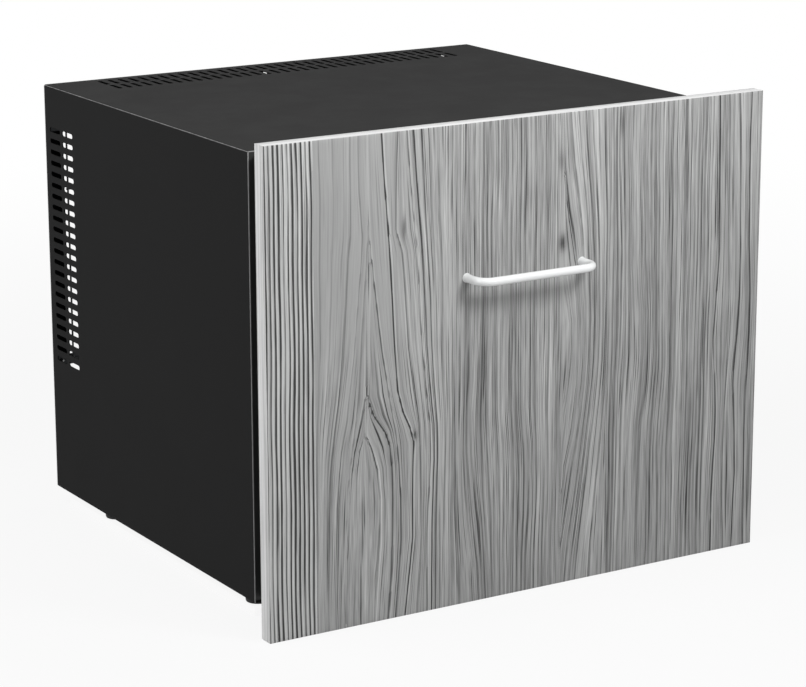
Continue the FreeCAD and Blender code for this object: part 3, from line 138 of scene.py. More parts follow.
# ---- node helpers
# A wire carries a socket's value on. Each sign or call on it adds a node to the socket's own tree,
# and what comes back is the new node's wire.
class Wire:
    def __init__(self, socket):
        self.socket = socket
        self.tree = socket.id_data

    def calc(self, operation, *others, clamp=False):
        return addNode(self.tree, "Math", dict(enumerate((self, *others))), operation=operation,
                       use_clamp=clamp)

    def vector(self, operation, *others):
        return addNode(self.tree, "VectorMath", dict(enumerate((self, *others))), operation=operation)

    def __add__(self, other):
        return self.calc("ADD", other)

    def __sub__(self, other):
        return self.calc("SUBTRACT", other)

    def __rsub__(self, other):
        return addNode(self.tree, "Math", {0: other, 1: self}, operation="SUBTRACT")

    def __mul__(self, other):
        return self.calc("MULTIPLY", other)

    def __truediv__(self, other):
        return self.calc("DIVIDE", other)

    def __abs__(self):
        return self.calc("ABSOLUTE")

    def axis(self, number):
        return addNode(self.tree, "SeparateXYZ", {0: self}, number)

    def mix(self, first, second):
        return addNode(self.tree, "Mix", {0: self, 6: first, 7: second}, 2, data_type="RGBA")

    def ramp(self, low, high):
        return addNode(self.tree, "MapRange", {0: self, 1: low, 2: high}, clamp=True,
                       interpolation_type="SMOOTHSTEP")

    def noise(self, scale, detail=3.0, rough=0.5):
        return addNode(self.tree, "TexNoise", {"Vector": self, "Scale": scale, "Detail": detail,
                                               "Roughness": rough}, "Fac")


def plug(tree, inputs, values):
    for key, value in values.items():
        if isinstance(value, Wire):
            tree.links.new(value.socket, inputs[key])
        else:
            inputs[key].default_value = value


def addNode(tree, kind, values=None, output=0, **settings):
    made = tree.nodes.new("ShaderNode" + kind)
    for key, value in settings.items():
        setattr(made, key, value)
    plug(tree, made.inputs, values or {})
    return Wire(made.outputs[output]) if made.outputs else made


def wiresOf(node):
    return {end.name: Wire(end) for end in node.outputs}


# A group's inputs come as label and value: a number, a vector or a colour. Its outputs are numbers,
# but for the one called Color.
def newGroup(name, inputs):
    tree = bpy.data.node_groups.new(name, "ShaderNodeTree")
    for label, value in inputs.items():
        kind = {1: "Float", 3: "Vector", 4: "Color"}[np.size(value)]
        socket = tree.interface.new_socket(label, in_out="INPUT", socket_type="NodeSocket" + kind)
        socket.default_value = value
    return tree, wiresOf(tree.nodes.new("NodeGroupInput"))


def closeGroup(tree, results):
    for label in results:
        kind = "Color" if label == "Color" else "Float"
        tree.interface.new_socket(label, in_out="OUTPUT", socket_type="NodeSocket" + kind)
    plug(tree, tree.nodes.new("NodeGroupOutput").inputs, results)
    return tree


def useGroup(tree, group, values):
    made = tree.nodes.new("ShaderNodeGroup")
    made.node_tree = group
    plug(tree, made.inputs, values)
    return wiresOf(made)


# ---- shared effects
# Moulded or sprayed skin: broad orange peel and fine sand in cells per metre, and sparse pits.
skinLook = dict(peelShare=0.6, sandShare=0.4, pit=(0.22, 0.02))


def buildSkinGrain():
    tree, given = newGroup("skinGrain", {"Vector": (0, 0, 0), "Peel": 900.0, "Sand": 3200.0, "Pits": 0.2})
    peel = given["Vector"].noise(given["Peel"], 2.0)
    sand = given["Vector"].noise(given["Sand"], 2.0, 0.6)
    cells = addNode(tree, "TexVoronoi", {"Vector": given["Vector"], "Scale": given["Peel"]}, "Distance",
                    feature="F1")
    pits = cells.ramp(*skinLook["pit"]) * given["Pits"]
    body = peel * skinLook["peelShare"] + sand * skinLook["sandShare"]
    return closeGroup(tree, {"Height": body - pits, "Mask": sand})


# Fine dust that settles on faces that look up, thinner on upright ones, broken by noise.
dustLook = dict(onLevel=0.85, onUpright=0.15, driftScale=14.0, drift=(0.25, 0.8), speckScale=1400.0,
                specks=(0.45, 0.75))


def buildDustFilm():
    tree, given = newGroup("dustFilm", {"Color": (0.5, 0.5, 0.5, 1), "Vector": (0, 0, 0),
                                        "Dust": (0.42, 0.4, 0.37, 1), "Amount": 0.1})
    up = addNode(tree, "NewGeometry", output="Normal").axis(2)
    settled = up.calc("MAXIMUM", 0.0) * dustLook["onLevel"] + dustLook["onUpright"]
    drift = given["Vector"].noise(dustLook["driftScale"], 5.0, 0.6).ramp(*dustLook["drift"])
    specks = given["Vector"].noise(dustLook["speckScale"], 2.0).ramp(*dustLook["specks"])
    cover = specks * 0.5 + drift * 0.5
    mask = (cover * settled).calc("MULTIPLY", given["Amount"], clamp=True)
    return closeGroup(tree, {"Color": mask.mix(given["Color"], given["Dust"]), "Mask": mask})


# Rolled or brushed metal: noise drawn out along one axis by the scale that comes in.
streakLook = dict(fineShare=0.6, broadShare=0.4, broadScale=0.12)


def buildRollStreaks():
    tree, given = newGroup("rollStreaks", {"Vector": (0, 0, 0), "Along": (20, 900, 900)})
    drawn = given["Vector"].vector("MULTIPLY", given["Along"])
    fine = drawn.noise(1.0, 4.0, 0.65)
    broad = drawn.noise(streakLook["broadScale"], 2.0)
    mask = fine * streakLook["fineShare"] + broad * streakLook["broadShare"]
    return closeGroup(tree, {"Height": fine, "Mask": mask})


# Rub marks along the edges of a box: near an edge, two of the three distances to its faces are
# small; the second smallest is compared with the width, and noise breaks the line unless it is even.
# An even light line on a dark finish is a painted highlight along the edges as well as rub.
# Inside is one behind the box's skin, but for a strip along the bends: painted shade that
# darkens inner faces and slot walls. Lengths in metres.
rubAndShadeLook = dict(noiseScale=160.0, swing=2.4, dip=1.5, fade=0.0005, skin=(0.00005, 0.0002),
               bends=(0.003, 0.004))


def buildEdgeRubHighlightShade():
    tree, given = newGroup("edgeRubHighlightShade", {"Vector": (0, 0, 0), "Middle": (0, 0, 0), "Half": (1, 1, 1),
                                          "Width": 0.002, "Even": 0.0, "Under": 1.0})
    away = given["Vector"].vector("SUBTRACT", given["Middle"])
    left = given["Half"].vector("SUBTRACT", away.vector("ABSOLUTE"))
    gapX, gapY, gapZ = (left.axis(k) for k in range(3))
    drop = (away.axis(2) * -1.0).calc("MAXIMUM", 0.0)
    upright = gapZ + drop * (1.0 - given["Under"])
    low = gapX.calc("MINIMUM", gapY)
    high = gapX.calc("MAXIMUM", gapY)
    second = low.calc("MAXIMUM", high.calc("MINIMUM", upright))
    rough = given["Vector"].noise(rubAndShadeLook["noiseScale"], 5.0, 0.7)
    uneven = (rough * rubAndShadeLook["swing"] - rubAndShadeLook["dip"]) * (1.0 - given["Even"])
    reach = given["Width"] * (uneven + 1.0)
    deep = low.calc("MINIMUM", gapZ).ramp(*rubAndShadeLook["skin"])
    mask = (reach - second).ramp(0.0, rubAndShadeLook["fade"])
    return closeGroup(tree, {"Mask": mask, "Inside": deep * second.ramp(*rubAndShadeLook["bends"])})


skinGrain = buildSkinGrain()
dustFilm = buildDustFilm()
rollStreaks = buildRollStreaks()
edgeRubHighlightShade = buildEdgeRubHighlightShade()


# ---- finishes of the record's slots
# Colour and second colour of the mottle, roughness and its swing, skin grain in cells per metre and
# how much of it is pitted, depth of the bump in metres, share of dust, streaks along an axis, specular
# level, and the rub and highlight line: its colour, width, box, how even it is, and how much of it is
# on lower edges.
finishes = {
    # the casing's even light line along its upright and top edges is a painted highlight as well as rub
    "casing_paint": dict(colour=(0.0125, 0.0126, 0.0128), mottle=0.0155, rough=0.6,
                         swing=0.1, peel=700, bump=0.00004, dust=0.015, level=0.024,
                         rubAndHighlight=0.3, rubWidth=0.0011, rubBox="outer_casing", rubEven=0.8,
                         rubUnder=0.0),
    "door_paint": dict(colour=(0.006, 0.006, 0.0062), mottle=0.009, rough=0.5,
                       swing=0.1, peel=900, bump=0.00003, dust=0.03, level=0.3,
                       rubAndHighlight=0.05, rubWidth=0.0008, rubBox="door_pan"),
    "screw_steel": dict(colour=(0.52, 0.51, 0.49), mottle=0.38, rough=0.32, swing=0.2,
                        metal=1.0, peel=2600, bump=0.00001, streaks=(300, 300, 2600)),
    "guard_wire": dict(colour=(0.02, 0.02, 0.021), mottle=0.035, rough=0.38,
                       swing=0.15, peel=1600, bump=0.00003, dust=0.12, level=0.5),
    "insulation_foam": dict(colour=(0.74, 0.66, 0.42), mottle=(0.6, 0.5, 0.28), rough=0.85,
                            swing=0.1, peel=420, bump=0.0004, pits=0.9, level=0.2),
    "liner_white": dict(colour=(0.74, 0.75, 0.75), mottle=(0.69, 0.7, 0.7), rough=0.34, swing=0.12,
                        peel=600, bump=0.00003, dust=0.03),
    "plastic_black": dict(colour=0.018, mottle=0.028, rough=0.46,
                          swing=0.14, peel=1500, bump=0.00004, dust=0.08, level=0.45),
    "rubber_black": dict(colour=0.014, mottle=(0.024, 0.024, 0.023), rough=0.72,
                         swing=0.14, peel=1100, bump=0.00006, dust=0.12, level=0.3),
    "magnet_ferrite": dict(colour=(0.05, 0.048, 0.046), mottle=(0.08, 0.075, 0.07), rough=0.6,
                           swing=0.2, peel=1400, bump=0.00005, pits=0.5),
    "handle_white": dict(colour=(0.86, 0.87, 0.87), mottle=(0.82, 0.83, 0.83), rough=0.24,
                         swing=0.08, peel=520, bump=0.00002, dust=0.015, coat=0.25),
    "sink_aluminium": dict(colour=(0.74, 0.745, 0.75), mottle=(0.6, 0.61, 0.62), rough=0.34,
                           swing=0.18, metal=1.0, peel=1400, bump=0.00002,
                           streaks=(700, 700, 12), dust=0.1),
    "module_ceramic": dict(colour=(0.78, 0.77, 0.73), mottle=(0.7, 0.69, 0.65), rough=0.5,
                           swing=0.15, peel=1900, bump=0.00002, pits=0.4),
    "board_green": dict(colour=(0.02, 0.12, 0.05), mottle=(0.014, 0.085, 0.036), rough=0.3,
                        swing=0.14, peel=1300, bump=0.00003, streaks=(420, 60, 420)),
    "switch_white": dict(colour=(0.72, 0.71, 0.67), mottle=(0.66, 0.65, 0.6), rough=0.42,
                         swing=0.12, peel=1500, bump=0.00003, dust=0.06),
    "basket_grey": dict(colour=(0.34, 0.35, 0.36), mottle=(0.29, 0.3, 0.31), rough=0.4, swing=0.14,
                        peel=1100, bump=0.00005, dust=0.04, rubAndHighlight=(0.45, 0.46, 0.47),
                        rubWidth=0.001, rubBox="basket"),
    "ball_steel": dict(colour=(0.62, 0.62, 0.63), mottle=0.5, rough=0.14, swing=0.12,
                       metal=1.0, peel=2200, bump=0.000006, streaks=(900, 30, 900)),
}

# A tone is a colour, or one number for a plain grey.
def solid(tone):
    return (*np.broadcast_to(tone, 3).tolist(), 1.0)


def emptyTree(holder):
    holder.use_nodes = True
    holder.node_tree.nodes.clear()
    return holder.node_tree


def newMaterial(name):
    material = bpy.data.materials.new(name)
    tree = emptyTree(material)
    return material, tree, addNode(tree, "TexCoord", output="Object")


# The material's shader: wires for what changes over the surface, and plain values by socket.
def closeMaterial(tree, tone, roughness, height, bump, strength, plain):
    relief = addNode(tree, "Bump", {"Height": height, "Distance": bump, "Strength": strength})
    values = {"Base Color": tone, "Roughness": roughness, "Normal": relief, **plain}
    addNode(tree, "OutputMaterial", {0: addNode(tree, "BsdfPrincipled", values)})


def dusted(tree, place, tone, amount):
    return useGroup(tree, dustFilm, {"Color": tone, "Vector": place, "Amount": amount})


# What all sprayed, moulded and rolled finishes share
finishLook = dict(cloudScale=22.0, cloud=(0.25, 0.75), cloudShare=0.55, sandToPeel=3.4,
                  streakShare=0.6, dustGloss=0.5, bumpStrength=0.8)


def makeFinish(name, colour, mottle, rough, swing, peel, bump, metal=0.0, dust=0.0, pits=0.15,
               streaks=None, rubAndHighlight=None, rubWidth=0.001, rubBox=None, rubEven=0.0, rubUnder=1.0,
               inside=None, coat=0.0, level=0.5):
    material, tree, place = newMaterial(name)
    skin = useGroup(tree, skinGrain, {"Vector": place, "Peel": peel, "Pits": pits,
                                      "Sand": peel * finishLook["sandToPeel"]})
    cloud = place.noise(finishLook["cloudScale"], 5.0, 0.6).ramp(*finishLook["cloud"])
    share = finishLook["cloudShare"]
    blend = cloud * share + skin["Mask"] * (1 - share)
    height = skin["Height"]
    if streaks:
        drawn = useGroup(tree, rollStreaks, {"Vector": place, "Along": streaks})
        share = finishLook["streakShare"]
        blend = blend * (1 - share) + drawn["Mask"] * share
        height = height * (1 - share) + drawn["Height"]
    tone = blend.mix(solid(colour), solid(mottle))
    # colour along the box's edges: wear, and on the casing an even painted highlight
    if rubAndHighlight:
        low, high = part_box(rubBox)
        mark = useGroup(tree, edgeRubHighlightShade, {"Vector": place, "Middle": (low + high) / 2,
                                           "Half": (high - low) / 2, "Width": rubWidth,
                                           "Even": rubEven, "Under": rubUnder})
        tone = mark["Mask"].mix(tone, solid(rubAndHighlight))
        # painted shade: the inside colour darkens the box's inner faces and slot walls
        if inside:
            tone = mark["Inside"].mix(tone, solid(inside))
    roughness = blend * swing + (rough - swing / 2)
    if dust:
        film = dusted(tree, place, tone, dust)
        tone = film["Color"]
        roughness = roughness.calc("ADD", film["Mask"] * finishLook["dustGloss"], clamp=True)
    closeMaterial(tree, tone, roughness, height, bump, finishLook["bumpStrength"],
                  {"Metallic": metal, "Coat Weight": coat, "Specular IOR Level": level})
    return material


materials = {slotName: makeFinish(slotName, **recipe) for slotName, recipe in finishes.items()}


# Hot-dip zinc: crystals of a few millimetres, each with its own tone and gloss, and roll marks.
zincSheet = dict(light=(0.59, 0.61, 0.63), dark=(0.46, 0.48, 0.5), crystals=130, bend=0.02,
                 bendScale=90.0, crystalShare=0.6, rough=0.28, swing=0.22, dust=0.1, bump=0.00002,
                 strength=0.6)


def makeZinc(spec):
    material, tree, place = newMaterial("zinc_sheet")
    drift = addNode(tree, "TexNoise", {"Vector": place, "Scale": spec["bendScale"]}, "Color")
    bent = addNode(tree, "Mix", {0: spec["bend"], 6: place, 7: drift}, 2, data_type="RGBA")
    cell = addNode(tree, "TexVoronoi", {"Vector": bent, "Scale": spec["crystals"]}, "Color", feature="F1")
    tint = addNode(tree, "SeparateColor", {0: cell})
    drawn = useGroup(tree, rollStreaks, {"Vector": place, "Along": (900, 14, 900)})
    blend = tint * spec["crystalShare"] + drawn["Mask"] * (1 - spec["crystalShare"])
    tone = blend.mix(solid(spec["light"]), solid(spec["dark"]))
    tone = dusted(tree, place, tone, spec["dust"])["Color"]
    closeMaterial(tree, tone, blend * spec["swing"] + spec["rough"], blend, spec["bump"], spec["strength"],
                  {"Metallic": 1.0})
    return material


materials["zinc_sheet"] = makeZinc(zincSheet)


# Clear plastics: the frosted lamp lens and the smoke-tinted divider, with scuffs and flow lines.
clearPlastics = {
    "lens_frost": dict(colour=(0.93, 0.95, 0.95), rough=0.42, swing=0.2, peel=2400, clear=0.7),
    "divider_smoke": dict(colour=(0.5, 0.53, 0.55), rough=0.1, swing=0.1, peel=300, clear=0.8),
}
clearLook = dict(scuff=(0.9, 0.92, 0.92), scuffShare=0.5, sandToPeel=4.0, pits=0.1, dust=0.03,
                 bump=0.00003, strength=0.5, bent=1.49)


def makeClear(name, spec):
    material, tree, place = newMaterial(name)
    skin = useGroup(tree, skinGrain, {"Vector": place, "Peel": spec["peel"], "Pits": clearLook["pits"],
                                      "Sand": spec["peel"] * clearLook["sandToPeel"]})
    flow = useGroup(tree, rollStreaks, {"Vector": place, "Along": (60, 900, 60)})
    scuff = flow["Mask"].calc("POWER", 3.0) * clearLook["scuffShare"]
    tone = scuff.mix(solid(spec["colour"]), solid(clearLook["scuff"]))
    tone = dusted(tree, place, tone, clearLook["dust"])["Color"]
    closeMaterial(tree, tone, skin["Mask"] * spec["swing"] + spec["rough"], skin["Height"],
                  clearLook["bump"], clearLook["strength"],
                  {"Transmission Weight": spec["clear"], "IOR": clearLook["bent"]})
    return material


for slotName, spec in clearPlastics.items():
    materials[slotName] = makeClear(slotName, spec)
print("shared effects and finishes:", len(materials))


# ---- decor board: wood figure
# The board is a print of six planks. Each plank has guide lines of its grain: a ring number, how
# dark its line is, and the line's x at each of the heights, in millimetres. Between two guides the
# ring number runs evenly, so the rings that lie between follow both. A heart is where rings close.
decor = dict(
    planks=(-274, -225, -80, 35, 95, 215, 274),      # plank edges, mm from the middle
    tones=(0.42, 0.07, -0.06, -0.03, -0.06, -0.04),  # lighter or darker than the mean
    ringDarkness=(1.9, 1.15, 0.8, 0.85, 0.75, 1.1),
    ringPitch=(0.5, 30), fibrePitch=1.9,             # mm
    calmTone=0.05, calmFibre=0.75,                   # that patch is lighter and has less fibre
    lightWood=(0.66, 0.664, 0.66), darkWood=0.03, relief=0.00022, strength=0.7, level=0.35,
    rough=0.56, swing=-0.12, dust=0.02,
    paleEdge=0.77, darkEdge=0.4, edgeStreaks=(0.36, 0.62),
    cell=2.7, cellRise=1.25, joint=0.06, edgeRadius=0.5,    # cells, joints and eased edges, mm
    margin=0.01, sway=((0.5, 74, 0.6), (0.35, 23, 40)),
    calmX=(-118, -150), calmZ=(120, 330),            # a pale, quiet patch of the second plank
)
heights = (-17, 20, 60, 100, 130, 150, 165, 180, 200, 240, 290, 330, 350, 390, 441)
leftHeart = dict(x=(-173,) * 7 + (-172, -172, -171, -170, -169, -169, -170, -170), dark=0.2,
                 ring=(0.2, 0.2, 0.25, 0.4, 0.6, 0.8, 1, 1.6, 2.1, 2.4, 2.7, 2.9, 3.05, 3.3, 3.6))
rightHeart = dict(x=(42,) * 15, dark=0.2,
                  ring=(3.6, 3.1, 2.5, 1.9, 1.4, 1.1, 0.9, 0.7, 0.5, 0.5, 1, 1.5, 1.8, 2.2, 2.6))
grain = (
    ((0, 1, -274), (10.5, 1, -225)),
    ((7.5, 0.3, -225),
     (6, 0.3, (-222, -221, -220, -220, -219, -218, -217, -216, -214, -211, -208, -207, -206, -205, -205)),
     (5, 0.35, (-212, -212, -212, -211, -209, -207, -205, -203, -200, -196, -192, -190, -188, -187, -186)),
     (4, 0.5, (-205, -205, -204, -203, -200, -198, -195, -192, -190, -184, -179, -176, -175, -178, -178)),
     (3, 0.45, (-195, -195, -194, -192, -189, -186, -184, -182, -180, -177, -173, -170)),
     (2, 0.35, (-195, -194, -192, -190, -187, -184, -180, -176)),
     (1, 0.3, (-186, -186, -185, -184, -182, -179)),
     leftHeart,
     (1, 0.6, (-164, -162, -158, -157, -160, -166)),
     (2, 0.75, (-149, -146, -144, -143, -143.5, -146, -152, -164)),
     (3, 0.95, (-141, -138, -135, -135, -137, -139, -141, -144, -148, -155, -161.5, -167)),
     (4, 2.3, (-131, -127, -122, -122, -121.5, -121, -126, -133, -138.5, -141.5, -144.5, -147,
               -148, -150.5, -154)),
     (5, 0.35, (-118, -116, -113, -113, -114, -115, -116, -118, -121, -126, -130, -134, -141,
                -139.5, -137)),
     (6, 1.1, (-107, -107, -106, -103.5, -103, -103.5, -104, -106, -108, -111.5, -115, -118, -120,
               -124, -128)),
     (7, 1.2, (-102, -102, -101, -99.5, -99, -99.5, -100, -102, -104, -107, -110, -113, -114.5,
               -117.5, -121)),
     (9, 0.35, (-93, -93, -92.5, -92, -91.5, -91.5, -92, -93, -94, -96, -98, -100, -101, -102, -104)),
     (11.6, 0.45, -80)),
    ((0, 0.3, -80),
     (3, 0.6, (-54, -56, -61, -65, -67, -67, -67, -66.5, -66, -66, -66, -66, -66, -66, -66)),
     (5, 0.55, (-46, -48, -51, -56, -59, -60, -60, -59, -57, -56, -56, -56, -56, -56, -56)),
     (9, 0.3, (-31, -31, -31, -33, -35, -36, -37, -37, -37, -37, -37, -37, -37, -36, -36)),
     (16, 0.5, (3, 4, 6, 6, 5, 3, 2, 2, 1, 0, 0, 0, 0, 0, 0)),
     (22.5, 0.35, 35)),
    ((4.6, 0.3, 35),
     rightHeart,
     (1, 0.25, (42, 42, 42, 42, 42, 43, 46, 48, 50, 50.5)),
     (2, 0.3, (42, 42, 42, 46, 54, 57, 58.5, 60, 61, 61.5, 58, 50, 46)),
     (3, 0.45, (42, 43, 50, 57, 62, 65, 66.5, 68, 69, 69.5, 67, 63, 60, 54.5, 50)),
     (4, 0.8, (48, 52, 57.5, 63.5, 67.5, 70, 71.5, 73, 74, 75, 73, 70, 68, 63.5, 59)),
     (5, 0.7, (54, 58, 63, 68.5, 72.5, 75, 76.5, 78, 79, 80, 78.5, 75.5, 74, 70.5, 67)),
     (6, 0.9, (60.5, 64, 69, 74, 78, 80.5, 82, 83, 84, 85, 84, 82, 80.5, 78, 75)),
     (7, 0.6, (68, 71, 75, 79.5, 83, 85, 86.5, 87.5, 88.5, 89.5, 88.5, 87, 86, 84, 82)),
     (8, 0.5, (77, 79, 82, 86, 89, 90.5, 91.5, 92, 92.5, 93, 92.5, 92, 91.5, 90, 89)),
     (8.8, 0.4, 95)),
    ((0, 0.4, 95),
     (3, 0.6, (106, 106, 107, 108, 108, 108, 108, 108, 109, 110, 110, 108, 107, 106, 106)),
     (6, 0.35, (121, 121, 121, 122, 123, 124, 125, 126, 127, 126, 122, 121, 121, 120, 120)),
     (9, 0.45, (134, 134, 134, 135, 136, 138, 139, 140, 141, 141, 137, 136, 135, 134, 134)),
     (14, 0.4, (157, 157, 157, 156, 157, 158, 159, 160, 160, 159, 157, 157, 157, 156, 156)),
     (20, 0.45, (188, 188, 189, 190, 190, 190, 190, 190, 190, 190, 190, 190, 190, 190, 190)),
     (26, 0.4, 215)),
    ((0, 0.5, 215),
     (1, 1, (223, 223.5, 224.5, 226, 225.5, 224.5, 223.5, 222, 221, 222, 225, 225, 224.5, 223, 222)),
     (2, 0.5, (239, 238, 237, 236, 236.5, 237.5, 238.5, 239.5, 240, 239, 236.5, 236, 236, 235, 234)),
     (3, 0.75, (249, 250.5, 252, 250, 248, 247, 247.5, 248.5, 250, 251, 251, 250, 249.5, 248, 246)),
     (4, 1.1, (265, 264.5, 263.5, 262, 262, 263, 264, 264.5, 265, 264, 261.5, 261, 260.5, 259.5, 261)),
     (5, 0.7, 274)),
)
knots = (   # x, z, half width, half height, depth
    (-120, 156, 2.2, 5.0, 1.1), (42, 318, 3.4, 8.5, 1.3), (-131.5, 352, 2.0, 11.0, 0.8),
    (108, 425, 2.6, 14.0, 0.5), (40, 395, 2.6, 9.0, 0.5))


# The fields of one plank at all points: ring number, ring pitch, darkness and place across the
# fibres. Two guides that meet at a height leave no room between them, so a ring closes in a point.
# A guide with fewer places than heights has met the heart there, and goes on along it.
def plankField(x, z, guides):
    ring, pitch = np.zeros_like(x), np.ones_like(x)
    dark, across = np.zeros_like(x), np.zeros_like(x)
    heart = [guide for guide in guides if isinstance(guide, dict)]
    lines = []
    for guide in guides:
        rings, depth, places = guide if guide not in heart else (guide["ring"], guide["dark"], guide["x"])
        if isinstance(places, tuple):
            places = places + (heart[0]["x"] if heart else ())[len(places):]
        places = np.broadcast_to(places, len(heights))
        rings = np.broadcast_to(rings, len(heights))
        lines.append((np.interp(z, heights, places), np.interp(z, heights, rings), depth,
                      float(np.mean(places))))
    for (xa, ra, da, ma), (xb, rb, db, mb) in zip(lines[:-1], lines[1:]):
        here = (x >= xa) & (x < xb)
        t = np.clip((x - xa) / np.maximum(xb - xa, 1e-6), 0, 1)
        ring = np.where(here, ra + t * (rb - ra), ring)
        pitch = np.where(here, (xb - xa) / np.maximum(np.abs(rb - ra), 0.05), pitch)
        dark = np.where(here, da + t * (db - da), dark)
        across = np.where(here, ma + t * (mb - ma), across)
    return ring, np.clip(pitch, *decor["ringPitch"]), dark, across


# Nought at low, one at high, and smooth between.
def ease(value, low, high):
    t = np.clip((value - low) / (high - low), 0, 1)
    return t * t * (3 - 2 * t)


# The face's fields, plank by plank, with the slow sway of real grain added to x first:
# sway = wide sin(z / long + start) + narrow sin(z / short + x / aside).
def grainField(x, z):
    plank = np.clip(np.searchsorted(decor["planks"], x, side="right") - 1, 0, len(grain) - 1)
    (wide, long, start), (narrow, short, aside) = decor["sway"]
    sway = wide * np.sin(z / long + start) + narrow * np.sin(z / short + x / aside)
    fields = np.zeros((4, len(x)))
    for number, guides in enumerate(grain):
        here = plank == number
        low, high = decor["planks"][number], decor["planks"][number + 1]
        inside = np.clip(x + sway, low + decor["margin"], high - decor["margin"])
        fields[:, here] = np.stack(plankField(inside, z, guides))[:, here]
    ring, pitch, dark, across = fields
    knot = np.zeros_like(x)
    for kx, kz, wide, high, depth in knots:
        knot = np.maximum(knot, depth * np.exp(-(((x - kx) / wide) ** 2 + ((z - kz) / high) ** 2)))
    calm = (plank == 1) * ease(z, *decor["calmZ"]) * ease(x, *decor["calmX"])
    tone = np.asarray(decor["tones"])[plank] + decor["calmTone"] * calm
    return dict(ringPhase=ring + 60 * plank, ringPitch=pitch * mm, grainAcross=across * mm,
                ringDark=dark * np.asarray(decor["ringDarkness"])[plank], plankTone=tone,
                knotDark=knot, fibreDepth=1 - decor["calmFibre"] * calm)


# The print in one group: ring lines by their distance in metres from a whole phase, each with its
# own strength from white noise and a light band beside it, partly the print's pale band and partly a
# painted highlight of the embossed ridge, fibres as noise drawn out along z, soft clouds, knots.
figureLook = dict(
    wander=0.0011, wanderScale=(60, 60, 9),          # how far a ring strays, m
    lineWidth=0.0011, lineLuck=0.0006,               # least width of a ring line and what luck adds, m
    strength=(0.55, 0.45), luck=(0.5, 0.6),          # swing and least of a line's strength
    fadeStep=3.7, fadeWaves=9.0, fade=(0.2, 0.62),   # how the strength changes along a ring
    lineEdge=(1.0, 0.15), glowEdge=(1.0, 0.1), glowPlace=1.5,      # in line widths
    bandScale=105.0, bandWaves=3.0, pore=(0.54, 0.72), poreStart=0.15,
    paleHair=(0.43, 0.35), darkHair=(0.56, 0.65), cloudScale=(11, 11, 5),
    mean=0.68, fibre=2.0, band=1.4, pores=0.85, clouds=0.3, flecks=1.0, paleHairs=0.45, darkHairs=0.7,
    ridgeHighlight=0.24, line=0.95, knot=0.75, gain=0.65, glowRelief=0.35, fibreRelief=0.4,
)
threads = dict(   # width in fibre pitches, waves per metre of height, noise detail and roughness
    fibre=(1.0, 3.5, 4.0, 0.7), hair=(0.5, 7.0, 2.0, 0.5), fleck=(0.3, 30.0, 2.0, 0.5))


def buildWoodFigure():
    tree, given = newGroup("woodFigure", {
        "Phase": 0.0, "Pitch": 0.004, "Across": 0.0, "Vector": (0, 0, 0), "Dark": 0.5, "Tone": 0.0,
        "Knot": 0.0, "Fibre": 0.0016, "Depth": 1.0, "Light Color": (0.4, 0.4, 0.4, 1),
        "Dark Color": (0.05, 0.05, 0.05, 1)})
    z = given["Vector"].axis(2)
    look = figureLook

    def drawnNoise(across, waves, detail, rough=0.5):
        return addNode(tree, "CombineXYZ", {0: across, 2: z * waves}).noise(1.0, detail, rough)

    def swung(wire, swing):
        return wire * swing - swing / 2      # a noise of 0 to 1 turned to one about zero

    wander = given["Vector"].vector("MULTIPLY", look["wanderScale"]).noise(1.0, 3.0)
    phase = given["Phase"] + swung(wander, 2 * look["wander"]) / given["Pitch"]
    nearest = phase.calc("ROUND")
    luck = addNode(tree, "TexWhiteNoise", {"W": nearest}, "Value", noise_dimensions="1D")
    fade = drawnNoise(nearest * look["fadeStep"], look["fadeWaves"], 2.0).ramp(*look["fade"])
    strength = ((fade * look["strength"][0] + look["strength"][1])
                * ((luck * look["luck"][0] + look["luck"][1]) * given["Dark"]))
    share = (phase - nearest) * given["Pitch"] / (luck * look["lineLuck"] + look["lineWidth"])
    line = abs(share).ramp(*look["lineEdge"]) * strength
    # light band beside each ring line: pale print and painted highlight of the raised ridge there
    ridgeHighlight = abs(share - look["glowPlace"]).ramp(*look["glowEdge"]) * strength
    fibre, hair, fleck = (
        drawnNoise(given["Across"] / (given["Fibre"] * width), waves, detail, rough)
        for width, waves, detail, rough in threads.values())
    band = drawnNoise(given["Across"] * look["bandScale"], look["bandWaves"], 3.0, 0.6)
    cloud = given["Vector"].vector("MULTIPLY", look["cloudScale"]).noise(1.0, 3.0)
    pores = fibre.ramp(*look["pore"]) * look["pores"] - look["poreStart"]
    pale = hair.ramp(*look["paleHair"]) * look["paleHairs"]
    dark = hair.ramp(*look["darkHair"]) * look["darkHairs"]
    shade = swung(fibre, look["fibre"]) + swung(band, look["band"]) - pores
    shade = shade + swung(cloud, look["clouds"]) + swung(fleck, look["flecks"]) + (pale - dark)
    light = shade * given["Depth"] + look["mean"] + given["Tone"] + ridgeHighlight * look["ridgeHighlight"]
    light = light - line * look["line"] - given["Knot"] * look["knot"]
    light = light.calc("MULTIPLY", look["gain"], clamp=True)
    return closeGroup(tree, {
        "Color": light.mix(given["Dark Color"], given["Light Color"]), "Mask": light,
        "Height": ridgeHighlight * look["glowRelief"] + fibre * look["fibreRelief"] - line})


woodFigure = buildWoodFigure()


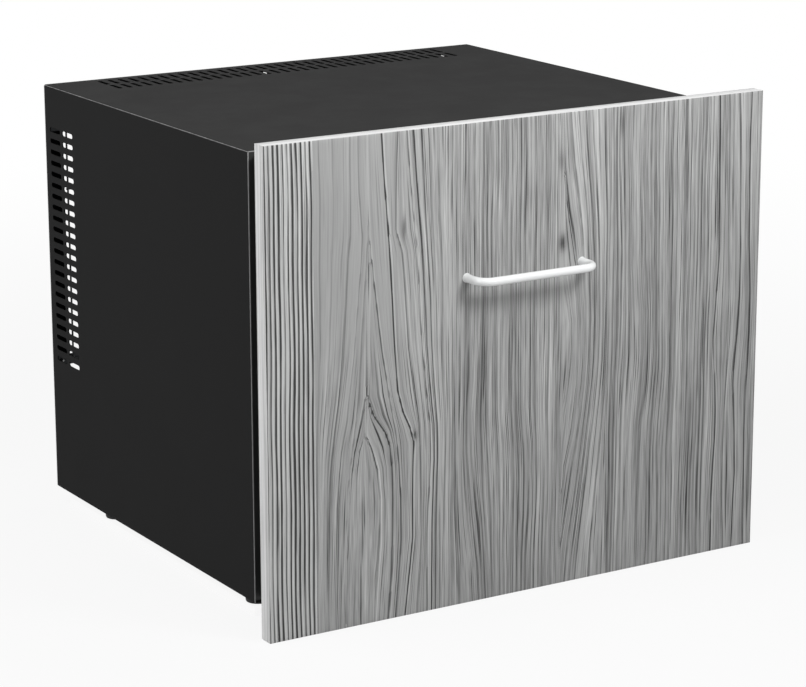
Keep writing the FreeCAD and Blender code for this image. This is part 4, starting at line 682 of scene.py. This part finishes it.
# The face takes the figure, and the edge band has pale streaks: along x on its level runs, along z
# on its upright ones.
def makeDecorLaminate():
    material, tree, place = newMaterial("wood_board")
    ringPhase, ringPitch, grainAcross, ringDark, plankTone, knotDark, fibreDepth, edge = (
        addNode(tree, "Attribute", output="Fac", attribute_name=name) for name in boardFields)
    figure = useGroup(tree, woodFigure, {
        "Phase": ringPhase, "Pitch": ringPitch, "Across": grainAcross, "Vector": place, "Dark": ringDark,
        "Tone": plankTone, "Knot": knotDark, "Fibre": decor["fibrePitch"] * mm, "Depth": fibreDepth,
        "Light Color": solid(decor["lightWood"]), "Dark Color": solid(decor["darkWood"])})
    upright = useGroup(tree, rollStreaks, {"Vector": place, "Along": (700, 700, 6)})["Mask"]
    level = useGroup(tree, rollStreaks, {"Vector": place, "Along": (6, 700, 700)})["Mask"]
    flat = abs(addNode(tree, "NewGeometry", output="Normal").axis(2)).ramp(0.5, 0.8)
    streak = level * flat + upright * (1.0 - flat)
    band = streak.ramp(*decor["edgeStreaks"]).mix(solid(decor["darkEdge"]), solid(decor["paleEdge"]))
    tone = edge.mix(figure["Color"], band)
    tone = dusted(tree, place, tone, decor["dust"])["Color"]
    roughness = figure["Mask"] * decor["swing"] + decor["rough"]
    closeMaterial(tree, tone, roughness, figure["Height"] * (1.0 - edge), decor["relief"],
                  decor["strength"], {"Specular IOR Level": decor["level"]})
    return material


boardFields = ("ringPhase", "ringPitch", "grainAcross", "ringDark", "plankTone", "knotDark", "fibreDepth",
               "bandEdge")
materials["wood_board"] = makeDecorLaminate()
materials["wood_edge"] = materials["wood_board"]


# A slab from two like grids of points, front and back, and rings between their borders that turn
# a quarter circle, run straight back and turn again, so that all four edges are eased.
def decorBoard():
    low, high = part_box("edge_band")
    radius = decor["edgeRadius"] * mm
    columns = []
    for start, end in zip(decor["planks"][:-1], decor["planks"][1:]):
        count = max(2, round((end - start) / decor["cell"]) + 1)
        columns.append(np.linspace(start + decor["joint"], end - decor["joint"], count))
    x = np.clip(np.concatenate(columns) * mm, low.x + radius, high.x - radius)
    x[0], x[-1] = low.x + radius, high.x - radius
    rowCount = round((high.z - low.z) / (decor["cell"] * decor["cellRise"] * mm))
    z = np.linspace(low.z + radius, high.z - radius, rowCount)
    nx, nz = len(x), len(z)
    gx, gz = np.meshgrid(x, z, indexing="ij")
    front = np.stack([gx, np.full_like(gx, low.y), gz], -1)
    back = np.stack([gx, np.full_like(gx, high.y), gz], -1)
    index = np.arange(nx * nz).reshape(nx, nz)
    border = np.concatenate([index[:-1, 0], index[-1, :-1], index[:0:-1, -1], index[0, :0:-1]])
    flat = front.reshape(-1, 3)[border]
    near = radius * 1.01                             # a border point lies this close to its side
    outX, outZ = (np.where(flat[:, k] < low[k] + near, -1, np.where(flat[:, k] > high[k] - near, 1, 0))
                  for k in (0, 2))
    turns = np.radians((30, 60, 90))
    places = [(math.sin(a), low.y + radius * (1 - math.cos(a))) for a in turns]
    places += [(math.sin(a), high.y - radius * (1 - math.cos(a))) for a in turns[::-1]]
    rings = [np.stack([flat[:, 0] + outX * radius * share, np.full(len(flat), y),
                       flat[:, 2] + outZ * radius * share], -1) for share, y in places]
    points = np.concatenate([front.reshape(-1, 3), back.reshape(-1, 3)] + rings)
    n, m = nx * nz, len(border)
    loops = [border] + [2 * n + k * m + np.arange(m) for k in range(len(rings))] + [border + n]
    quads = [gridQuads(nx, nz), gridQuads(nx, nz) + n]
    for a, b in zip(loops[:-1], loops[1:]):
        quads.append(np.stack([a, np.roll(a, -1), np.roll(b, -1), b], -1))
    faces = np.concatenate(quads).tolist()
    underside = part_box("outer_casing")[0].z      # the figure's heights start at the casing's underside
    fields = grainField(points[:, 0] / mm, (points[:, 2] - underside) / mm)
    fields["bandEdge"] = np.zeros(len(points))
    fields["bandEdge"][2 * n + m:2 * n + (len(rings) - 1) * m] = 1.0
    makePiece("decorBoard", [(points, faces)], "wood_board", "drawer", ("decor_panel", "edge_band"), 40,
              fields)


decorBoard()
print("decor board")


# ---- bow handle: a round bar along a path of leg, quarter circle, bar, quarter circle, leg
bow = dict(half=64.0, reach=26.0, bend=14.0, sides=28, arcSteps=14, barSteps=24, collar=0.6,
           collarLength=3.0, thinned=0.02)


def bowHandle():
    low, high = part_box("handle")
    radius = (high.z - low.z) / 2
    root = high.y
    bar = root - bow["reach"] * mm
    half, bend, collar, length = (bow[k] * mm for k in ("half", "bend", "collar", "collarLength"))
    arc = np.linspace(0, np.pi / 2, bow["arcSteps"])
    leg = np.stack([np.full(4, -half), (root, root - 0.6 * mm, root - length, bar + bend)], -1)
    turn = np.stack([-half + bend * (1 - np.cos(arc)), bar + bend * (1 - np.sin(arc))], -1)[1:]
    level = np.linspace(-half + bend, 0, bow["barSteps"])[1:]
    path = np.concatenate([leg, turn, np.stack([level, np.full(len(level), bar)], -1)])
    path = np.concatenate([path, (path * (-1, 1))[-2::-1]])
    path = np.column_stack([path, np.full(len(path), (low.z + high.z) / 2)])
    along = pathDirections(path)
    bent = np.abs(along[:, 0] * along[:, 1]) * 2       # one in the middle of a bend, nought on the runs
    near = np.clip(1 - (root - path[:, 1]) / length, 0, 1) * (np.abs(path[:, 0]) > half - 0.1 * mm)
    size = radius * (1 - bow["thinned"] * bent) + collar * near
    makePiece("handleBow", [barShell(path, size, bow["sides"], (0, 0, 1))], "handle_white", "drawer",
              ("handle",), 50)


bowHandle()


# ---- rubber feet: a turned section with a waist, a rounded foot ring and treads round the bolt
foot = dict(radius=12.5, height=9.0, recess=6.0, recessDepth=4.5, bolt=2.62, steps=48)


def rubberFoot(node):
    low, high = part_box(node)
    centre = ((low.x + high.x) / 2, (low.y + high.y) / 2, low.z)
    r, h, inner, deep = (foot[k] for k in ("radius", "height", "recess", "recessDepth"))
    outline = [(inner, 0.5), (inner + 0.5, 0.1), (7.8, 0.0), (8.1, 0.45), (8.6, 0.45), (8.9, 0.0),
               (9.9, 0.0), (10.2, 0.45), (10.7, 0.45), (11.0, 0.0), (r - 1.3, 0.15), (r - 1.0, 0.8),
               (r - 0.7, 2.4), (r - 0.75, 4.6), (r - 0.25, 6.2), (r, 7.6), (r - 0.1, 8.5), (r - 0.6, h),
               (foot["bolt"], h), (foot["bolt"], deep), (inner - 0.3, deep), (inner, deep - 0.3)]
    shell = latheShell(np.array(outline) * mm, centre, (0, 0, 1), foot["steps"], True)
    makePiece(node.replace("foot_", "rubberFoot_"), [shell], "rubber_black", "cabinet", (node,), 38)


for node in ("foot_front_left", "foot_front_right", "foot_rear_left", "foot_rear_right"):
    rubberFoot(node)
print("handle and feet")


# ---- door seal: one closed section of lip, pleats and magnet pocket, carried round the door with
# mitred corners; its height swells and sinks a little on the way, in waves
seal = dict(stations=34, swell=0.12, waves=9, section=(     # mm across, share of the height
    (0.6, 0.0), (0.0, 0.05), (0.0, 0.18), (1.9, 0.26), (2.1, 0.34), (0.5, 0.42), (0.4, 0.52),
    (2.2, 0.6), (2.2, 0.68), (0.6, 0.76), (0.4, 0.86), (1.0, 0.97), (2.4, 1.0), (8.0, 1.0),
    (13.6, 1.0), (15.0, 0.97), (15.7, 0.88), (15.6, 0.78), (13.9, 0.68), (13.9, 0.6), (15.8, 0.52),
    (15.7, 0.42), (14.0, 0.34), (14.2, 0.26), (16.0, 0.18), (16.0, 0.05), (15.4, 0.0), (8.0, 0.0)))


def doorSeal():
    low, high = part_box("gasket")
    deep = high.y - low.y
    section = np.array(seal["section"])
    count = seal["stations"]
    share = np.linspace(0, 1, count, endpoint=False)
    corners = np.array([(low.x, low.z), (high.x, low.z), (high.x, high.z), (low.x, high.z)])
    sides = np.roll(corners, -1, 0) - corners
    base = (corners[:, None] + sides[:, None] * share[None, :, None]).reshape(-1, 2)
    phase = np.arange(len(base)) * 2 * np.pi / len(base)
    swell = 1 - seal["swell"] * mm / deep * (1 + np.sin(seal["waves"] * phase)) / 2
    # between corners the inset runs straight in; only at a corner does it run along the mitre
    mitre = np.repeat(np.array([(1, 1), (-1, 1), (-1, -1), (1, -1)], float), count, 0)
    inward = np.repeat(np.array([(0, 1), (-1, 0), (0, -1), (1, 0)], float), count, 0)
    direction = np.where(np.tile(share == 0, 4)[:, None], mitre, inward)
    flat = base[:, None] + direction[:, None] * (section[:, 0] * mm)[None, :, None]
    y = low.y + section[:, 1] * deep * swell[:, None]
    points = np.stack([flat[..., 0], y, flat[..., 1]], -1)
    makePiece("sealBellows", [tubeShell(points, True)], "rubber_black", "drawer", ("gasket",), 60)


doorSeal()


# ---- fan rotors: a blade is a grid of radius and way round its section; the chord leans more near
# the hub, is cambered, and thins to both edges; the hub is a turned cup with a ringed face
rotorShape = dict(blades=7, hub=0.4, overlap=0.94, rows=12, sides=22, camber=0.09, fill=0.86,
                  spacing=0.94, thinning=0.35, edge=0.8, sweep=0.16, clear=0.2)
rotors = {
    "hotRotor": dict(node="hot_fan_rotor", body="hot_rotor", thick=1.5, slope=(46, 26)),
    "coldRotor": dict(node="cold_fan_rotor", body="cold_rotor", thick=1.2, slope=(44, 24)),
}


def fanRotor(name, spec):
    low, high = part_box(spec["node"])
    shape = rotorShape
    tip = max(high.x, -low.x)
    middleY, middleZ = (low.y + high.y) / 2, spec["axisZ"]
    depth = high.y - low.y
    hub = tip * shape["hub"]
    radius = np.linspace(hub * shape["overlap"], tip, shape["rows"])[:, None]
    share = (radius - hub) / (tip - hub)
    around = fullTurn(shape["sides"])
    chord = np.cos(around)
    slope = np.radians(np.interp(share, (0, 1), spec["slope"]))
    reach = shape["fill"] * depth / 2 / np.sin(slope)        # half chord that fills the depth
    reach = np.minimum(reach, radius * math.pi / shape["blades"] * shape["spacing"] / np.cos(slope))
    thick = spec["thick"] * mm * (1 - shape["thinning"] * share)
    taper = np.sqrt(np.clip(1 - shape["edge"] * chord ** 2, 0, 1))
    offset = thick / 2 * np.sin(around) * taper + shape["camber"] * reach * (1 - chord ** 2)
    forward = reach * chord * np.cos(slope) - offset * np.sin(slope)
    y = middleY + reach * chord * np.sin(slope) + offset * np.cos(slope)
    y = np.clip(y, low.y + shape["clear"] * mm, high.y - shape["clear"] * mm)
    shells = []
    for k in range(shape["blades"]):
        angle = 2 * np.pi * k / shape["blades"] + shape["sweep"] * share ** 2 + forward / radius
        shells.append(tubeShell(np.stack([radius * np.sin(angle), y,
                                          middleZ + radius * np.cos(angle)], -1)))
    outline = np.array([(0.4 * mm, 0.0), (hub * 0.5, 0.0), (hub * 0.54, 0.5 * mm), (hub * 0.62, 0.5 * mm),
                        (hub * 0.66, 0.0), (hub - 1.2 * mm, 0.1 * mm), (hub - 0.3 * mm, 0.6 * mm),
                        (hub, 1.6 * mm), (hub, depth - 0.6 * mm), (hub - 0.5 * mm, depth),
                        (0.4 * mm, depth)])
    shells.append(latheShell(outline, (0, low.y, middleZ), (0, 1, 0), 48))
    makePiece(name, shells, "plastic_black", spec["body"], (spec["node"],), 40)


for joint in frame["joints"]:
    for name, spec in rotors.items():
        if joint["child"] == spec["body"]:
            spec["axisZ"] = joint["pos_m"][2]
for name, spec in rotors.items():
    fanRotor(name, spec)
print("seal and rotors")


# ---- screws: turned round an axis, the head has a cross-shaped recess and the shank a thread. The
# columns of the head are bent so that two of them follow each side of the cross's arms.
screw = dict(head=3.6, rise=2.2, shank=1.9, core=1.5, pitch=1.3, armWidth=0.13, armReach=0.6,
             recess=0.62, dome=0.3, tip=0.7)
screwSets = {   # node and body; then start under the head, axis, length, and head size if it differs
    "casingScrews": dict(node="casing_screws", body="cabinet", rows=(
        [((side * 249.4, y, 16.5), (0, 0, 1), 6.0) for side in (-1, 1) for y in (-110.6, 55.4, 221.4)]
        + [((x, 227.4, 17.5), (0, 0, 1), 5.0) for x in (-175, -105)]
        + [((side * 246, 261.4, z), (0, -1, 0), 6.0) for side in (-1, 1) for z in (151.5, 397.5)]
        + [((x, 251.4, z), (0, -1, 0), 11.0, 3.0, 1.8) for x in (-194, -86) for z in (24.5, 96.5)])),
    "bracketScrews": dict(node="bracket_screws", body="drawer", rows=(
        [((x, -216.1, z), (0, -1, 0), 11.5) for x in (-180, -160, 160, 180) for z in (9, 448)]
        + [((x, -209.2, z), (0, 0, way), 11.5)
           for z, way in ((439, -1), (18, 1)) for x in (-180, -160, 160, 180)])),
    "basketScrews": dict(node="basket_screws", body="drawer", rows=(
        [((side * 207.3, y, 166.5), (side, 0, 0), 6.2, 3.6, 0.0)
         for side in (-1, 1) for y in (-133.1, -17.1, 98.9)]
        + [((side * 192.3, -163.1, z), (0, -1, 0), 10.5) for side in (-1, 1) for z in (136.5, 196.5)])),
}


# Height of the head's top: rise (1 - 0.3 (r / R)^3), less the recess inside the arms, which is
# deepest in the middle. A flush head has no rise and narrows in a cone to the shank.
def screwShell(start, axis, length, head=screw["head"], rise=screw["rise"]):
    reach, shank, core = screw["armReach"], screw["shank"], screw["core"]
    share = np.array((0.07, 0.2, 0.4, reach, reach + 0.05, 0.82, 0.95, 1.0))
    half = np.minimum(np.arcsin(np.minimum(screw["armWidth"] / share, 1.0)), math.radians(38))
    quarter = np.stack([0 * half, half * 0.94, half * 1.06, 0 * half + np.pi / 4,
                        np.pi / 2 - half * 1.06, np.pi / 2 - half * 0.94], -1)
    turn = np.concatenate([quarter + k * np.pi / 2 for k in range(4)], -1)
    deep = screw["recess"] * max(rise, shank) * (1 - 0.5 * share / reach)
    inArm = np.tile((1, 1, 0, 0, 0, 1), 4)[None] * (share <= reach)[:, None]
    inArm[0] = 1
    height = (rise * (1 - screw["dome"] * share ** 3))[:, None] - inArm * deep[:, None]
    radius = np.broadcast_to((share * head)[:, None], turn.shape)
    step = screw["pitch"] / 2
    neck = 0.0 if rise else shank                    # depth at which the head meets the shank
    down = neck + 0.3 + np.arange(int((length - 2.6) / step)) * step
    down = down[down < length - 1.3]
    ridge = np.where(np.arange(len(down)) % 2 == 0, shank, core)
    under = [(head, 0.15), (head - 0.3, 0.0)] if rise else [(head, -0.2), (shank, -neck)]
    lower = np.array(under + list(zip(ridge, -down)) + [(core, 0.9 - length),
                                                        (core * screw["tip"], -length)])
    plain = turn[-1][None] + np.zeros((len(lower), 1))
    turn = np.concatenate([turn, plain])
    radius = np.concatenate([radius, np.broadcast_to(lower[:, :1], plain.shape)])
    height = np.concatenate([height, np.broadcast_to(lower[:, 1:], plain.shape)])
    return tubeShell(aroundAxis(start, axis, radius, turn, -height) * mm)


for name, spec in screwSets.items():
    makePiece(name, [screwShell(*row) for row in spec["rows"]], "screw_steel", spec["body"],
              (spec["node"],), 30)
print("screws")


# ---- scale round the thermostat's dial: raised ticks over the dial's travel, each a little broader
# than the last; a tick's section is an ellipse that shrinks to both ends
scale = dict(centre=(-106.0, 66.5), inner=14.0, outer=17.0, ticks=7, sweep=270.0, width=(0.5, 1.5),
             rise=0.35, stations=7, sides=12)


def dialScale():
    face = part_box("supply_cover")[1].y
    shells = []
    ring = fullTurn(scale["sides"])
    radial = np.linspace(scale["inner"], scale["outer"], scale["stations"])[:, None] + 0 * ring
    fill = np.sqrt(1 - np.linspace(-0.97, 0.97, scale["stations"]) ** 6)[:, None]
    lift = scale["rise"] * fill * np.sin(ring)
    for share in np.linspace(0, 1, scale["ticks"]):
        turn = math.radians(scale["sweep"] * share)
        across = np.interp(share, (0, 1), scale["width"]) / 2 * fill * np.cos(ring)
        x = scale["centre"][0] + radial * math.sin(turn) + across * math.cos(turn)
        z = scale["centre"][1] + radial * math.cos(turn) - across * math.sin(turn)
        points = np.stack([x, face / mm + lift, z], -1)
        shells.append(tubeShell(points * mm))
    makePiece("dialScale", shells, "switch_white", "cabinet", (), 50)


dialScale()
print("dial scale")


# ---- casing hem: a small bead where the sheet is folded back round the casing's mouth; it runs up
# one side, over the top and down the other, with rounded corners. Its light grey colour on the black
# sheet is a painted highlight along the mouth's edge.
hem = dict(radius=0.5, corner=2.0, sides=10, cornerSteps=6, sideSteps=12, topSteps=40, clear=0.02,
           foot=2.0)


def casingHem():
    low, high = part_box("outer_casing")
    r, c = hem["radius"] * mm, hem["corner"] * mm
    inset = r + hem["clear"] * mm
    left, right, top = low.x + inset, high.x - inset, high.z - inset
    bottom = low.z + hem["foot"] * mm
    corner = np.linspace(0, np.pi / 2, hem["cornerSteps"])
    rise = np.linspace(bottom, top - c, hem["sideSteps"] + 1)
    level = np.linspace(left + c, right - c, hem["topSteps"])[1:-1]
    x = np.concatenate([np.full(hem["sideSteps"], left), left + c * (1 - np.cos(corner)), level,
                        right - c * (1 - np.sin(corner)), np.full(hem["sideSteps"], right)])
    z = np.concatenate([rise[:-1], top - c * (1 - np.sin(corner)), np.full(len(level), top),
                        top - c * (1 - np.cos(corner)), rise[-2::-1]])
    path = np.stack([x, np.full(len(x), low.y + r), z], -1)
    makePiece("casingHem", [barShell(path, r, hem["sides"], (0, 1, 0))], "casing_paint", "cabinet", (),
              60, finish="hem")


# the hem is the casing's black sheet; its light colour is a painted highlight
hemPaintedHighlight = dict(finishes["casing_paint"], colour=0.65, mottle=0.4, rough=0.32, level=0.6, dust=0.02,
                 rubAndHighlight=None)
materials["hem"] = makeFinish("hem", **hemPaintedHighlight)
casingHem()
print("casing hem")


# ---- CAD nodes keep their shape and take the finishes by slot
# The casing's sheet is painted outside, and darkened inside as painted shade that blackens its inner
# faces and slot walls; its base plate is sprayed with the paint.
casingSheetPaintedShade = dict(finishes["casing_paint"], inside=0.002)
materials["casingSheetPaintedShade"] = makeFinish("casingSheetPaintedShade", **casingSheetPaintedShade)
paintedOver = {"outer_casing": "casingSheetPaintedShade", "base_plate": "casing_paint"}

for part in frame["record"]["subparts"]:
    node = frame["nodes"][part["node"]]
    for slotHolder in node.material_slots:
        slotHolder.material = materials[paintedOver.get(part["node"], part["material_slot"])]


# ---- stage, light and camera
stage = dict(floor=6.0, plinthInset=0.02, shadowShare=0.1, shadowReach=(2.2, 0.5), paper=(0.6, 0.66),
             paperScale=3.0)


# One where the camera, a mirror or glass looks: those see a flat white and not the lit surface.
def looksWhite(tree):
    camera, gloss, clear = (addNode(tree, "LightPath", output=ray)
                            for ray in ("Is Camera Ray", "Is Glossy Ray", "Is Transmission Ray"))
    return camera.calc("MAXIMUM", gloss.calc("MAXIMUM", clear))


# Paper white: mostly flat white to the eye, and for the rest a lit matt surface that keeps the
# object's shadow near it.
def makePaper():
    material, tree, place = newMaterial("paper")
    tone = place.noise(stage["paperScale"]).mix(*(solid(grey) for grey in stage["paper"]))
    matt = addNode(tree, "BsdfDiffuse", {"Color": tone})
    white = addNode(tree, "Emission", {"Color": solid(1.0), "Strength": 1.0})
    away = addNode(tree, "VectorMath", {0: place}, "Value", operation="LENGTH")
    share = looksWhite(tree) * (away.ramp(*stage["shadowReach"]) * -stage["shadowShare"] + 1.0)
    addNode(tree, "OutputMaterial", {0: addNode(tree, "MixShader", {0: share, 1: matt, 2: white})})
    return material


def stagePiece(name, verts, faces, paper):
    mesh = bpy.data.meshes.new(name)
    mesh.from_pydata(verts, [], faces)
    mesh.materials.append(paper)
    return addObject(name, mesh)


# The floor, and a low plinth that carries the feet, because the panel hangs lower than they do.
def makeStage():
    paper = makePaper()
    s = stage["floor"]
    floor = stagePiece("floor", [(-s, -s, 0), (s, -s, 0), (s, s, 0), (-s, s, 0)], [(0, 1, 2, 3)], paper)
    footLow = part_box("foot_front_left")[0]
    inset = stage["plinthInset"]
    low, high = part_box("outer_casing")
    x0, x1, y0, y1 = low.x + inset / 4, high.x - inset / 4, low.y + inset / 2, high.y - inset
    verts = [(*p, z) for z in (0.0, footLow.z) for p in ((x0, y0), (x1, y0), (x1, y1), (x0, y1))]
    faces = [(3, 2, 1, 0), (4, 5, 6, 7)] + [(k, (k + 1) % 4, (k + 1) % 4 + 4, k + 4) for k in range(4)]
    plinth = stagePiece("plinth", verts, faces, paper)


makeStage()

lamps = {   # place, what it faces, size, power
    "keyLamp": dict(place=(0.14, -0.8, 0.84), towards=(0, -0.23, 0.35), size=0.26, power=4.7),
    "sideLamp": dict(place=(-1.6, -0.2, 0.9), towards=(0, 0, 0.3), size=0.9, power=10.5),
    "topLamp": dict(place=(-1.1, 0.3, 1.5), towards=(-0.2, 0, 0.4), size=0.9, power=7),
    "rightLamp": dict(place=(1.7, 0.4, 0.5), towards=(0, 0, 0.25), size=0.9, power=9),
    "cornerLamp": dict(place=(-0.25, -0.65, 0.95), towards=(-0.05, -0.23, 0.4), size=0.4, power=1.2),
}
for name, lamp in lamps.items():
    light = bpy.data.lights.new(name, "AREA")
    light.size = lamp["size"]
    light.energy = lamp["power"]
    holder = addObject(name, light)
    holder.location = lamp["place"]
    facing = Vector(lamp["towards"]) - Vector(lamp["place"])
    holder.rotation_euler = facing.to_track_quat("-Z", "Y").to_euler()

studio = dict(light=0.21, white=1.0)      # what lights the object, and what the eye sees
world = bpy.data.worlds.new("studio")
bpy.context.scene.world = world
tree = emptyTree(world)
dim, white = (addNode(tree, "Background", {"Color": solid(1.0), "Strength": studio[k]})
              for k in ("light", "white"))
addNode(tree, "OutputWorld", {0: addNode(tree, "MixShader", {0: looksWhite(tree), 1: dim, 2: white})})

view = dict(place=(-1.44685, -2.38233, 0.91317), yaw=31.452, pitch=14.506, roll=-0.148, lens=128.195,
            sensor=36, nearest=0.05, furthest=60)


# The camera's axes from its three angles: it looks along (sin yaw cos pitch, cos yaw cos pitch,
# -sin pitch), and the picture is turned by the roll about that line.
def makeCamera(spec):
    yaw, pitch, roll = (math.radians(spec[k]) for k in ("yaw", "pitch", "roll"))
    ahead = Vector((math.sin(yaw) * math.cos(pitch), math.cos(yaw) * math.cos(pitch), -math.sin(pitch)))
    level = Vector((math.cos(yaw), -math.sin(yaw), 0))
    up = level.cross(ahead)
    right = level * math.cos(roll) + up * math.sin(roll)
    above = up * math.cos(roll) - level * math.sin(roll)
    data = bpy.data.cameras.new("frontView")
    data.lens = spec["lens"]
    data.sensor_fit = "HORIZONTAL"
    data.sensor_width = spec["sensor"]
    data.clip_start, data.clip_end = spec["nearest"], spec["furthest"]
    camera = addObject("frontView", data)
    turn = Matrix((right, above, -ahead)).transposed().to_4x4()
    camera.matrix_world = Matrix.Translation(spec["place"]) @ turn
    bpy.context.scene.camera = camera


makeCamera(view)
bpy.context.scene.view_settings.view_transform = "Standard"
print("stage, lamps and camera")
